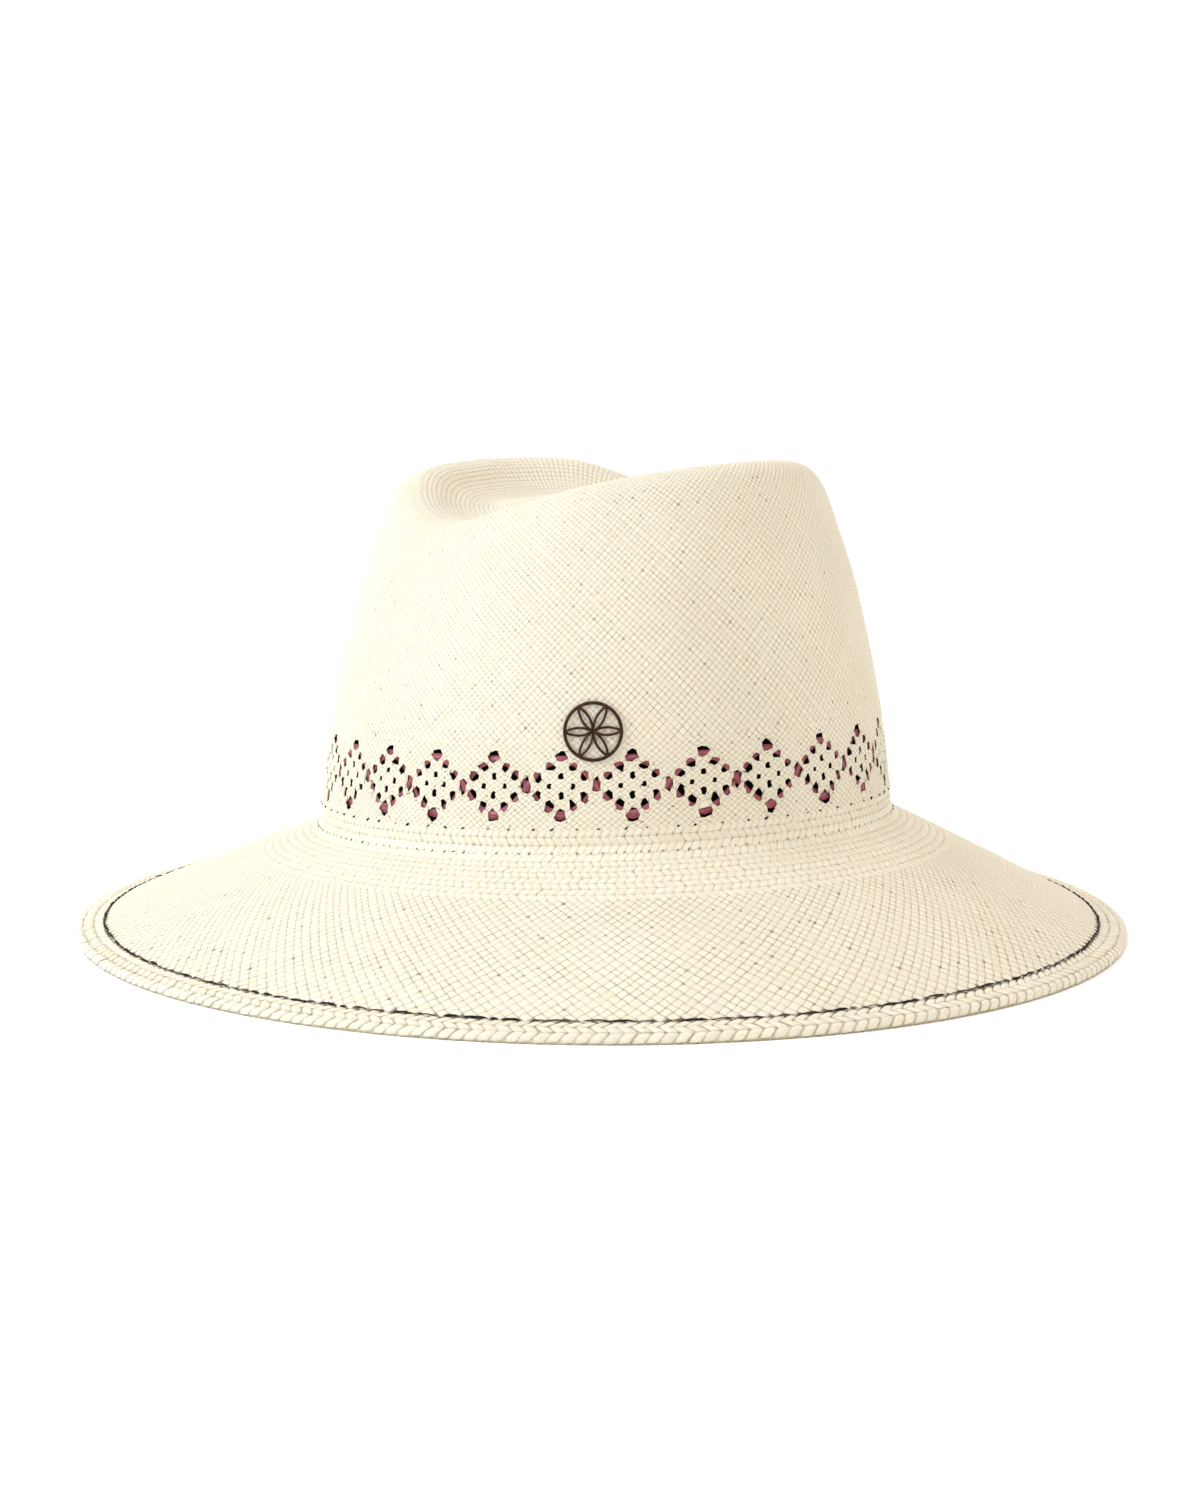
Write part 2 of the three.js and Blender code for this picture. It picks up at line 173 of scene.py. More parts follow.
def oval(angle, length, width, z):
    """Points of an oval round the hat's middle, at degrees from its front."""
    turn = np.radians(angle)
    x, y = width / 2 * np.sin(turn), -length / 2 * np.cos(turn)
    return np.stack([x, y, np.broadcast_to(z, x.shape)], -1)


def ridge_height(angle):
    """Height of the crown's ridge over the crease, the same on both sides of the hat."""
    return CROWN_HEIGHT * smooth_table(RIDGE, np.abs((angle + 180) % 360 - 180))


def wall(angle, height):
    """Outside of the crown's wall, measured from the crease."""
    side = np.abs((angle + 180) % 360 - 180)
    share = height / ridge_height(angle)
    ease = np.clip((share - 0.35) / 0.65, 0, 1)
    narrow = (smooth_table(RIDGE, side, 2) - 1) * ease * ease * (3 - 2 * ease)
    reach = smooth_table(CROWN_WALL, share) * (1 + narrow)
    for middle, up, depth, turn, rise in DENTS:
        reach = reach - depth * np.exp(-(((side - middle) / turn) ** 2) - ((share - up) / rise) ** 2)
    point = oval(angle, HEAD_LENGTH * reach, HEAD_WIDTH * reach, height)
    point[..., 1] -= height * LEAN
    return point


def fillet(away):
    """How far the straw keeps off the corner of crown and brim, at a distance from it along either of them."""
    return FILLET * (1 - np.sqrt(np.clip(away / FILLET, 0, 1))) ** 2


def on_hat(point):
    """Place on the hat of a point measured from the crease."""
    turn = math.radians(-CREASE_TILT)
    x, y, z = point[..., 0], point[..., 1], point[..., 2]
    return np.stack(
        [
            x,
            y * math.cos(turn) - z * math.sin(turn) - CROWN_FORWARD,
            y * math.sin(turn) + z * math.cos(turn) + CREASE_HEIGHT,
        ],
        -1,
    )


def climb_of_rows():
    """Heights above the band at which each further row of straw stands, so that its cells stay square."""
    start, end = BAND_MIDDLE + BAND_TOP_ROW * BAND_ROW, 0.94 * CROWN_HEIGHT
    height = np.linspace(start, end, 400)
    radius = (HEAD_LENGTH + HEAD_WIDTH) / 4 * smooth_table(CROWN_WALL, height / end)
    step = np.hypot(np.diff(height), np.diff(radius))
    pitch = 2 * np.pi * (radius[1:] + radius[:-1]) / 2 / STRAWS
    rows = np.concatenate([[0], np.cumsum(step / pitch)])
    return rows, (height - start) / (end - start)


CLIMB_ROWS, CLIMB_SHARES = climb_of_rows()
RIDGE_ROW = BAND_TOP_ROW + CLIMB_ROWS[-1]
TOP_ROWS = 34


def crown(share, row):
    """Outside of the crown: share runs round from the front, row counts straws up from the band's middle."""
    angle = angle_at(share)
    ridge = ridge_height(angle)
    plain = BAND_MIDDLE + row * BAND_ROW
    start = BAND_MIDDLE + BAND_TOP_ROW * BAND_ROW
    climb = np.interp(row - BAND_TOP_ROW, CLIMB_ROWS, CLIMB_SHARES)
    height = np.where(row < BAND_TOP_ROW, plain, start + (ridge - start) * climb)
    side = wall(angle, height)
    square_out = side * [1 / HEAD_WIDTH**2, 1 / HEAD_LENGTH**2, 0]
    square_out = square_out / np.linalg.norm(square_out, axis=-1, keepdims=True)
    side = side + square_out * fillet(height + FILLET_DROP * (1 - height / FILLET))[..., None]
    reach = np.clip(1 - (row - RIDGE_ROW) / TOP_ROWS, 0, 1)
    crest = wall(angle, ridge)
    tip = np.array([0, TIP_BACK - TIP_HEIGHT * LEAN, TIP_HEIGHT])
    top = tip + (crest - tip) * reach[..., None]
    sink, dish = smooth_table(CROWN_TOP, reach, 1), smooth_table(CROWN_TOP, reach, 2)
    top[..., 2] = crest[..., 2] + (tip[2] - crest[..., 2]) * sink - DISH_DEPTH * dish
    return on_hat(np.where((row > RIDGE_ROW)[..., None], top, side))


def brim(share, inward):
    """Upper face of the brim: inward is 0 at the rim and 1 at the crease."""
    angle, out = angle_at(share), 1 - inward
    crease = on_hat(oval(angle, HEAD_LENGTH, HEAD_WIDTH, -GAP))
    rim = oval(angle, RIM_LENGTH, RIM_WIDTH, EDGE_THICKNESS)
    point = crease + (rim - crease) * out[..., None]
    point[..., 2] = rim[..., 2] + (crease[..., 2] - rim[..., 2]) * smooth_table(BRIM_SECTION, out)
    point[..., 2] += fillet(out * BRIM_WIDTH)
    return point


# Plaited edge: place across it, how far out on the brim, height over the brim's own slope.
EDGE_SECTION = [
    (0, EDGE_SHARE, 0),
    (0.42, EDGE_SHARE + 0.047, 0.6),
    (0.74, EDGE_SHARE + 0.09, 0.45),
    (0.86, 0.994, 0),
    (0.94, 1, -0.8),
    (1, 1, -1.7),
    (1.1, 0.997, -2.3),
]


def edge(share, inward):
    """Outside of the plaited edge: inward is 1 beside the brim and 0 low on the rim's outer wall."""
    across = 1 - inward
    table = np.array(EDGE_SECTION)
    out = np.interp(across, table[:, 0], table[:, 1])
    point = brim(share, 1 - out)
    point[..., 2] += np.interp(across, table[:, 0], table[:, 2])
    return point


def lifted(surface, round_, up, lift):
    """Points off a surface by lift millimetres, and the directions straight out of it there."""
    small_round, small_up = 1e-4, 0.02 if surface is not crown else 0.1
    here = surface(round_, up)
    along = surface(round_ + small_round, up) - surface(round_ - small_round, up)
    rise = surface(round_, up + small_up) - surface(round_, up - small_up)
    out = np.cross(along, rise)
    out /= np.maximum(np.linalg.norm(out, axis=-1, keepdims=True), 1e-9)
    return here + out * np.asarray(lift)[..., None], out


def new_mesh(name, points, faces):
    """Mesh of quads and triangles from points in millimetres."""
    mesh = bpy.data.meshes.new(name)
    corners = np.concatenate([np.asarray(f, np.int32).ravel() for f in faces])
    sizes = np.concatenate([np.full(len(f), f.shape[1]) for f in faces])
    mesh.vertices.add(len(points))
    mesh.vertices.foreach_set("co", (points / 1000).astype(np.float32).ravel())
    mesh.loops.add(len(corners))
    mesh.loops.foreach_set("vertex_index", corners)
    mesh.polygons.add(len(sizes))
    mesh.polygons.foreach_set("loop_start", np.concatenate([[0], np.cumsum(sizes)[:-1]]).astype(np.int32))
    mesh.update(calc_edges=True)
    mesh.shade_smooth()
    return mesh, corners


def add_map(mesh, corners, name, values):
    """A UV map from one pair of values for each vertex."""
    layer = mesh.uv_layers.new(name=name)
    layer.data.foreach_set("uv", values.reshape(-1, 2)[corners].astype(np.float32).ravel())


def add_mark(mesh, name, values):
    """A named value for each vertex, which the material reads."""
    mark = mesh.attributes.new(name, "FLOAT", "POINT")
    mark.data.foreach_set("value", values.astype(np.float32).ravel())


def place_piece(mesh_or_object, name, material, replaces=()):
    """A finished piece of the hat: it rides on the hat's one body and takes its finish from a slot."""
    piece = mesh_or_object
    if not isinstance(piece, bpy.types.Object):
        piece = bpy.data.objects.new(name, mesh_or_object)
        bpy.context.scene.collection.objects.link(piece)
    piece.name = name
    piece.data.name = name
    piece.data.materials.clear()
    piece.data.materials.append(material)
    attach(piece, "root")
    if replaces:
        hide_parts(*replaces)
    return piece


def straw_tiles(name, surface, round_, up, lift, strand, tile, length):
    """One patch for each stretch of straw that shows; axes are tile, along the straw, across it."""
    points, out = lifted(surface, round_, up, lift)
    count, along, across = round_.shape
    index = np.arange(points[..., 0].size, dtype=np.int32).reshape(count, along, across)
    quads = np.stack(
        [index[:, :-1, :-1], index[:, 1:, :-1], index[:, 1:, 1:], index[:, :-1, 1:]], -1
    )
    a, b = along // 2, across // 2
    turn = np.cross(points[:, -1, b] - points[:, 0, b], points[:, a, -1] - points[:, a, 0])
    inside_out = (turn * out[:, a, b]).sum(-1) < 0
    quads[inside_out] = quads[inside_out][..., ::-1]
    mesh, corners = new_mesh(name, points.reshape(-1, 3), [quads.reshape(-1, 4)])
    s = np.broadcast_to(np.linspace(0, 1, along)[None, :, None], round_.shape)
    t = np.broadcast_to(np.linspace(0, 1, across)[None, None, :], round_.shape)
    add_map(mesh, corners, "Tile", np.stack([s, t], -1))
    # Each straw has its own place in the fibre pattern; length is a cell's, in millimetres along and across.
    slide, drift = (strand * 37.0 + tile * 5.0)[:, None, None], strand[:, None, None] * 91
    add_map(mesh, corners, "Fibre", np.stack([s * length[0] + slide, t * length[1] + drift], -1))
    add_mark(mesh, "strand", np.broadcast_to(strand[:, None, None], round_.shape))
    add_mark(mesh, "tile", np.broadcast_to(tile[:, None, None], round_.shape))
    return mesh


def pillow(along, across, rise, sink):
    """Height of a straw over the weave: high in its middle, low at its sides, under its neighbours at both ends."""
    across, along = np.abs(across) ** 2.2, np.abs(along) ** 2.2
    return rise - (rise + 0.7 * sink) * across - (rise + 0.9 * sink) * along * (1 - 0.7 * across)


def waver(rng, amount):
    """How far each straw's border strays from its line, as a function of line and place along it."""
    push = rng.normal(0, 0.55, STRAWS)
    phase = rng.uniform(0, 2 * np.pi, STRAWS)

    def stray(line, along):
        wave = np.sin(2 * np.pi * 9 * along / STRAWS + phase[line % STRAWS])
        return amount * (push[line % STRAWS] + 0.6 * wave)

    return stray


# Gaps of one diamond, in straws from its middle: place along the two slants, half width, half height.
DIAMOND_GAPS = [
    (-1.5, -1.5, 0.56, 0.8),
    (-1.5, 1.5, 0.6, 1.2),
    (1.5, -1.5, 0.6, 0.95),
    (1.5, 1.5, 0.52, 0.85),
    (4.5, -1.5, 1.0, 1.15),
    (4.5, 1.5, 0.95, 1.2),
    (-1.5, -4.5, 1.05, 1.2),
    (1.5, -4.5, 1.1, 1.2),
    (-4.5, -1.5, 0.9, 1.45),
    (-4.5, 1.5, 0.95, 1.5),
    (-1.5, 4.5, 0.9, 1.45),
    (1.5, 4.5, 0.9, 1.35),
    (4.5, -4.5, 1.45, 1.45),
    (-4.5, 4.5, 1.3, 1.75),
    (4.5, 4.5, 0.85, 1.95),
]


# Straws from a gap's middle within which any straw is moved.
GAP_REACH = 5
# How near a straw's corner must be to the middle to count as lying in it.
MIDDLE_REACH = 0.28


def draw_apart(a, b, rng):
    """Draws the band's straws apart round its gaps, most of all at each gap's rim."""
    for k in range(DIAMONDS):
        for gap_a, gap_b, half_width, half_height in DIAMOND_GAPS:
            middle_u = 9 * k + 0.5 + (gap_a + gap_b) / 2 + rng.uniform(-0.06, 0.06)
            middle_q = (gap_a - gap_b) / 2 + rng.uniform(-0.06, 0.06)
            half_width, half_height = np.array([half_width, half_height]) * rng.uniform(0.86, 1.1, 2)
            around = ((a + b) / 2 - middle_u + STRAWS / 2) % STRAWS - STRAWS / 2
            near = np.abs(around[:, 1, 1]) < GAP_REACH
            du, dq = around[near], ((a - b) / 2)[near] - middle_q
            # A straw that meets in the gap's middle goes to its own side of it.
            at_middle = np.hypot(du, dq) < MIDDLE_REACH
            du = np.where(at_middle, 0.01 * du[:, 1:2, 1:2], du)
            dq = np.where(at_middle, 0.01 * dq[:, 1:2, 1:2], dq)
            far = np.hypot(du, dq)
            # Two waves of three and five lobes make each rim uneven in its own way.
            way = np.arctan2(dq, du)
            rough = 1 + 0.16 * np.sin(3 * way + rng.uniform(0, 6.3)) + 0.12 * np.sin(5 * way + rng.uniform(0, 6.3))
            rim = rough * np.hypot(half_width * du, half_height * dq) / far / math.sqrt(2)
            push = ((far**3 + rim**3) ** (1 / 3) / far - 1) * np.clip(1.6 - far / 2.5, 0, 1)
            a[near] += (du + dq) * push
            b[near] += (du - dq) * push


def weave(name, surface, rows_to_up, low, high, seed, sizes, gaps=False):
    """Plain weave on two slants: every second row of cells shows the one slant, the rest the other."""
    rng = np.random.default_rng(seed)
    level, turn = np.meshgrid(
        np.arange(math.ceil(2 * low), math.floor(2 * high) + 1), np.arange(2 * STRAWS), indexing="ij"
    )
    even = (level + turn) % 2 == 0
    i, j = (turn[even] + level[even]) // 2, (turn[even] - level[even]) // 2
    first = (i + j) % 2 == 0
    tuck, count = sizes.tuck, len(i)
    side = sizes.side_lap * rng.uniform(0.4, 1.6, count)
    long = np.stack([np.full(count, -tuck), np.full(count, 0.5), np.full(count, 1 + tuck)], -1)
    wide = np.stack([-side, np.full(count, 0.5), 1 + side], -1)
    shift_a = np.where(first[:, None], long, wide)
    shift_b = np.where(first[:, None], wide, long)
    a = i[:, None, None] + np.broadcast_to(shift_a[:, :, None], (count, 3, 3)).copy()
    b = j[:, None, None] + np.broadcast_to(shift_b[:, None, :], (count, 3, 3)).copy()
    stray_a = waver(rng, sizes.stray * (0.45 if gaps else 1))
    stray_b = waver(rng, sizes.stray * (0.45 if gaps else 1))
    lattice = (2 * STRAWS, LOOSE_ROWS)
    loose = rng.random(lattice) < sizes.loose
    corner_pull = np.where(loose, rng.uniform(0.01, 0.04, lattice), 0)
    for ka in (0, 2):
        for kb in (0, 2):
            line_a, line_b = i + ka // 2, j + kb // 2
            pull = corner_pull[(line_a + line_b) % (2 * STRAWS), (line_a - line_b) % LOOSE_ROWS]
            a[:, ka, kb] = np.where(pull > 0, line_a + (1 - ka) * pull, a[:, ka, kb])
            b[:, ka, kb] = np.where(pull > 0, line_b + (1 - kb) * pull, b[:, ka, kb])
    mix_a, mix_b = np.clip(a - i[:, None, None], 0, 1), np.clip(b - j[:, None, None], 0, 1)
    line_i, line_j = i[:, None, None], j[:, None, None]
    strayed_a = stray_a(line_i, b) * (1 - mix_a) + stray_a(line_i + 1, b) * mix_a
    strayed_b = stray_b(line_j, a) * (1 - mix_b) + stray_b(line_j + 1, a) * mix_b
    if gaps:
        draw_apart(a, b, rng)
    a, b = a + strayed_a, b + strayed_b
    place = np.array([-1.0, 0.0, 1.0])
    rise = sizes.relief * rng.uniform(0.75, 1.3, count)[:, None, None]
    lift_first = pillow(place[None, :, None], place[None, None, :], rise, sizes.relief)
    lift_second = pillow(place[None, None, :], place[None, :, None], rise, sizes.relief)
    lift = np.where(first[:, None, None], lift_first, lift_second)
    # The straw's own axis comes first in the patch.
    for values in (a, b, lift):
        values[~first] = values[~first].transpose(0, 2, 1).copy()
    share = ((a + b - 1) / 2 + 9 * BAND_PHASE) / STRAWS
    strand_of = rng.uniform(0, 1, (2, STRAWS))
    strand = np.where(first, strand_of[0][j % STRAWS], strand_of[1][i % STRAWS])
    tile = rng.uniform(0, 1, count)
    return straw_tiles(name, surface, share, rows_to_up((a - b) / 2), lift, strand, tile, (2.2, 1.8))


def herringbone(name, surface, rows, columns, seed, relief, slant, narrow, fine=3, tuck=0.1):
    """Rows of leaf-shaped stretches that lean one way and the other. rows holds each row's two borders."""
    rng = np.random.default_rng(seed)
    s, t = np.linspace(0, 1, fine), np.linspace(0, 1, 3)
    shares, ups, lifts, strands = [], [], [], []
    for k, (low, high) in enumerate(rows):
        lean = slant if k % 2 == 0 else -slant
        column = np.arange(columns)[:, None, None] + rng.uniform(-0.035, 0.035, columns)[:, None, None]
        long = s[None, :, None] * (1 + 2 * tuck) - tuck
        wide = 1.1 * t[None, None, :] - 0.05
        leaf = 1 - narrow * np.abs(2 * s[None, :, None] - 1) ** 2
        across = 0.5 + (wide - 0.5) * leaf
        own_lean = lean * rng.uniform(0.93, 1.07, columns)[:, None, None]
        shares.append((column + across + own_lean * (long - 0.5)) / columns)
        slip = rng.uniform(-0.06, 0.06, columns)[:, None, None]
        ups.append(np.broadcast_to(low + (high - low) * (long + slip), (columns, fine, 3)))
        rise = relief * rng.uniform(0.8, 1.25, columns)[:, None, None]
        lifts.append(pillow(2 * s[None, :, None] - 1, 2 * t[None, None, :] - 1, rise, relief))
        strands.append(rng.uniform(0, 1, columns))
    strand = np.concatenate(strands)
    return straw_tiles(
        name,
        surface,
        np.concatenate(shares),
        np.concatenate(ups),
        np.concatenate(lifts),
        strand,
        rng.uniform(0, 1, len(strand)),
        (3.0, 1.8),
    )


def ring_weave(name, surface, first_row, rows, seed, sizes):
    """Weave of the crown's top: rings of straw crossed by straws that run out from the tip."""
    rng = np.random.default_rng(seed)
    place = np.array([-1.0, 0.0, 1.0])
    shares, ups, lifts, strands = [], [], [], []
    for k in range(rows):
        # The straws halve in number wherever the ring has become about half as long.
        reach = 1 - (k + 0.5) / TOP_ROWS
        halvings = math.floor(0.25 - math.log2(max(reach, 0.02)))
        columns = 2 * max(4, round(4 * DIAMONDS * 2**-halvings))
        m = np.arange(columns)
        ringwise = (m + k) % 2 == 0
        side = sizes.side_lap * rng.uniform(0.4, 1.6, columns)
        tuck = sizes.tuck
        long = np.broadcast_to(np.array([-tuck, 0.5, 1 + tuck]), (columns, 3))
        wide = np.stack([-side, np.full(columns, 0.5), 1 + side], -1)
        round_ = np.where(ringwise[:, None], long, wide)
        up = np.where(ringwise[:, None], wide, long)
        rise = 1.2 * sizes.relief * rng.uniform(0.8, 1.25, columns)[:, None, None]
        # The straw's own axis comes first in the patch.
        along_ring = ringwise[:, None, None]
        share = (m[:, None, None] + np.where(along_ring, round_[:, :, None], round_[:, None, :])) / columns
        row = first_row + k + np.where(along_ring, up[:, None, :], up[:, :, None])
        shares.append(share)
        ups.append(row)
        lifts.append(pillow(place[None, :, None], place[None, None, :], rise, sizes.relief))
        strands.append(np.where(ringwise, rng.uniform(0, 1), rng.uniform(0, 1, columns)))
    strand = np.concatenate(strands)
    return straw_tiles(
        name,
        surface,
        np.concatenate(shares),
        np.concatenate(ups),
        np.concatenate(lifts),
        strand,
        rng.uniform(0, 1, len(strand)),
        (2.0, 1.8),
    )


def closed_wall(name, outside, inside, columns, pole=False):
    """A closed wall between two stacks of rings, ended by a rim at each end or by a pole at the last."""
    rings = outside + inside[::-1]
    points = np.concatenate(rings)
    here = np.arange(columns, dtype=np.int32)
    after = np.roll(here, -1)
    quads, triangles = [], []
    last = len(outside) - 1
    for r in range(len(rings)):
        up = (r + 1) % len(rings)
        if pole and r == last:
            continue
        quads.append(np.stack([here + r * columns, after + r * columns, after + up * columns, here + up * columns], -1))
    if pole:
        top, under = len(points), len(points) + 1
        points = np.concatenate([points, [rings[last].mean(0)], [rings[last + 1].mean(0)]])
        full = np.full(columns, top)
        triangles.append(np.stack([here + last * columns, after + last * columns, full], -1))
        full = np.full(columns, under)
        triangles.append(np.stack([after + (last + 1) * columns, here + (last + 1) * columns, full], -1))
    faces = [np.concatenate(quads)]
    if pole:
        faces.append(np.concatenate(triangles))
    return new_mesh(name, points, faces)


def sheet_between(name, surface, ups, depth, columns, pole=False):
    """The straw sheet that the woven tiles lie on: its outer face just under them, and its inner face. The outer face
    is marked for painted shade, which shows in the gaps of the weave.
    """
    share = np.arange(columns) / columns
    outside = [lifted(surface, share, np.full(columns, float(u)), np.full(columns, -depth[0]))[0] for u in ups]
    inside = [lifted(surface, share, np.full(columns, float(u)), np.full(columns, -depth[1]))[0] for u in ups]
    mesh, corners = closed_wall(name, outside, inside, columns, pole)
    ups = np.concatenate([ups, ups[::-1]])
    grid = np.stack(np.broadcast_arrays((share * STRAWS)[None, :], np.asarray(ups)[:, None]), -1).reshape(-1, 2)
    if pole:
        grid = np.concatenate([grid, [[0, ups.max()]], [[0, ups.max()]]])
    add_map(mesh, corners, "Rows", grid)
    # Painted shade: the outer faces, seen only through gaps in the weave, are marked to be painted dark.
    shade_under_weave = np.zeros(len(mesh.vertices))
    shade_under_weave[: len(outside) * columns] = 1
    add_mark(mesh, "shade_under_weave", shade_under_weave)
    return mesh


def linear(code):
    """Linear colour of an sRGB hex value."""
    parts = [int(code[k : k + 2], 16) / 255 for k in (0, 2, 4)]
    return [p / 12.92 if p <= 0.04045 else ((p + 0.055) / 1.055) ** 2.4 for p in parts] + [1.0]


def add_node(tree, kind, values=None, links=None, **settings):
    """One node with its settings, its input values and the outputs that feed it."""
    node = tree.nodes.new(kind)
    for name, value in settings.items():
        setattr(node, name, value)
    for socket, value in (values or {}).items():
        node.inputs[socket].default_value = value
    for socket, source in (links or {}).items():
        tree.links.new(source, node.inputs[socket])
    return node


def new_material(name, roughness, **sockets):
    """An empty material with its shader; constant finishes are set on the shader's own sockets."""
    material = bpy.data.materials.new(name)
    material.use_nodes = True
    shader = material.node_tree.nodes["Principled BSDF"]
    shader.inputs["Roughness"].default_value = roughness
    for socket, value in sockets.items():
        shader.inputs[socket.replace("_", " ")].default_value = value
    return material, material.node_tree, shader


def ramp(node, stops):
    """Colour stops of a ramp: place and hex colour."""
    elements = node.color_ramp.elements
    while len(elements) < len(stops):
        elements.new(0.5)
    for element, (place, code) in zip(elements, stops):
        element.position = place
        element.color = linear(code)


def woven_straw(name, colours, shade, fibre_bump):
    """Split palm straw, bleached and woven flat: satin, with fine fibres along each straw, a tint of its own for
    each straw, and painted shade that darkens it towards its borders, where it goes under its neighbour."""
    material, tree, shader = new_material(name, 0.56, Specular_IOR_Level=0.32)
    strand = add_node(tree, "ShaderNodeAttribute", attribute_name="strand")
    tile = add_node(tree, "ShaderNodeAttribute", attribute_name="tile")
    tint = add_node(tree, "ShaderNodeValToRGB", links={"Fac": strand.outputs["Fac"]})
    tint.color_ramp.interpolation = "LINEAR"
    ramp(tint, [(k / (len(colours) - 1), code) for k, code in enumerate(colours)])
    fibre = add_node(tree, "ShaderNodeUVMap", uv_map="Fibre")
    # Fibres are about 0.15 mm apart across the straw and run 4 mm along it.
    stretch = add_node(
        tree, "ShaderNodeMapping", values={"Scale": (0.25, 3.2, 1)}, links={"Vector": fibre.outputs["UV"]}
    )
    grain = add_node(
        tree,
        "ShaderNodeTexNoise",
        values={"Scale": 2.0, "Detail": 3.0, "Roughness": 0.6},
        links={"Vector": stretch.outputs["Vector"]},
    )
    grain_tone = add_node(
        tree,
        "ShaderNodeMapRange",
        values={"From Min": 0.3, "From Max": 0.7, "To Min": 0.94, "To Max": 1.03},
        links={"Value": grain.outputs["Fac"]},
    )
    tile_tone = add_node(
        tree, "ShaderNodeMapRange", values={"To Min": 0.95, "To Max": 1.02}, links={"Value": tile.outputs["Fac"]}
    )
    place = add_node(tree, "ShaderNodeUVMap", uv_map="Tile")
    split = add_node(tree, "ShaderNodeSeparateXYZ", links={"Vector": place.outputs["UV"]})
    # Painted shade: each tile darkens towards its ends and, less, towards its sides, where it dives under its
    # neighbour.
    darker = []
    for axis, start, dark in (("X", 0.25, shade), ("Y", 0.3, 0.1 + 0.9 * shade)):
        middle = add_node(
            tree, "ShaderNodeMath", operation="SUBTRACT", values={1: 0.5}, links={0: split.outputs[axis]}
        )
        far = add_node(tree, "ShaderNodeMath", operation="ABSOLUTE", links={0: middle.outputs[0]})
        darker.append(
            add_node(
                tree,
                "ShaderNodeMapRange",
                interpolation_type="SMOOTHSTEP",
                values={"From Min": start, "From Max": 0.465, "To Min": 1.0, "To Max": dark},
                links={"Value": far.outputs[0]},
            )
        )
    border = add_node(
        tree, "ShaderNodeMath", operation="MULTIPLY", links={0: darker[0].outputs[0], 1: darker[1].outputs[0]}
    )
    # The bleach takes unevenly, in clouds of about 40 mm.
    body = add_node(tree, "ShaderNodeTexCoord")
    cloud = add_node(
        tree, "ShaderNodeTexNoise", values={"Scale": 26.0, "Detail": 2.0}, links={"Vector": body.outputs["Object"]}
    )
    cloud_tone = add_node(
        tree,
        "ShaderNodeMapRange",
        values={"From Min": 0.3, "From Max": 0.7, "To Min": 0.965, "To Max": 1.015},
        links={"Value": cloud.outputs["Fac"]},
    )
    own_tone = add_node(
        tree, "ShaderNodeMath", operation="MULTIPLY", links={0: grain_tone.outputs[0], 1: tile_tone.outputs[0]}
    )
    tones = add_node(
        tree, "ShaderNodeMath", operation="MULTIPLY", links={0: own_tone.outputs[0], 1: cloud_tone.outputs[0]}
    )
    # The painted shade at the borders is fainter on some tiles than on others, at random.
    depth = add_node(
        tree, "ShaderNodeMapRange", values={"To Min": 0.5, "To Max": 1.7}, links={"Value": tile.outputs["Fac"]}
    )
    painted_shade = add_node(tree, "ShaderNodeMath", operation="SUBTRACT", values={0: 1.0}, links={1: border.outputs[0]})
    shaded = add_node(
        tree,
        "ShaderNodeMath",
        operation="MULTIPLY",
        use_clamp=True,
        links={0: painted_shade.outputs[0], 1: depth.outputs[0]},
    )
    # Painted shade: at its borders the tile's tint goes towards the dark brown 7A6A4C.
    shadowed = add_node(
        tree,
        "ShaderNodeMix",
        data_type="RGBA",
        blend_type="MIX",
        values={7: linear("7A6A4C")},
        links={0: shaded.outputs[0], 6: tint.outputs["Color"]},
    )
    toned = add_node(
        tree, "ShaderNodeVectorMath", operation="SCALE", links={0: shadowed.outputs[2], "Scale": tones.outputs[0]}
    )
    bump = add_node(
        tree,
        "ShaderNodeBump",
        values={"Strength": fibre_bump, "Distance": 0.00006},
        links={"Height": grain.outputs["Fac"]},
    )
    tree.links.new(toned.outputs["Vector"], shader.inputs["Base Color"])
    tree.links.new(bump.outputs["Normal"], shader.inputs["Normal"])
    return material


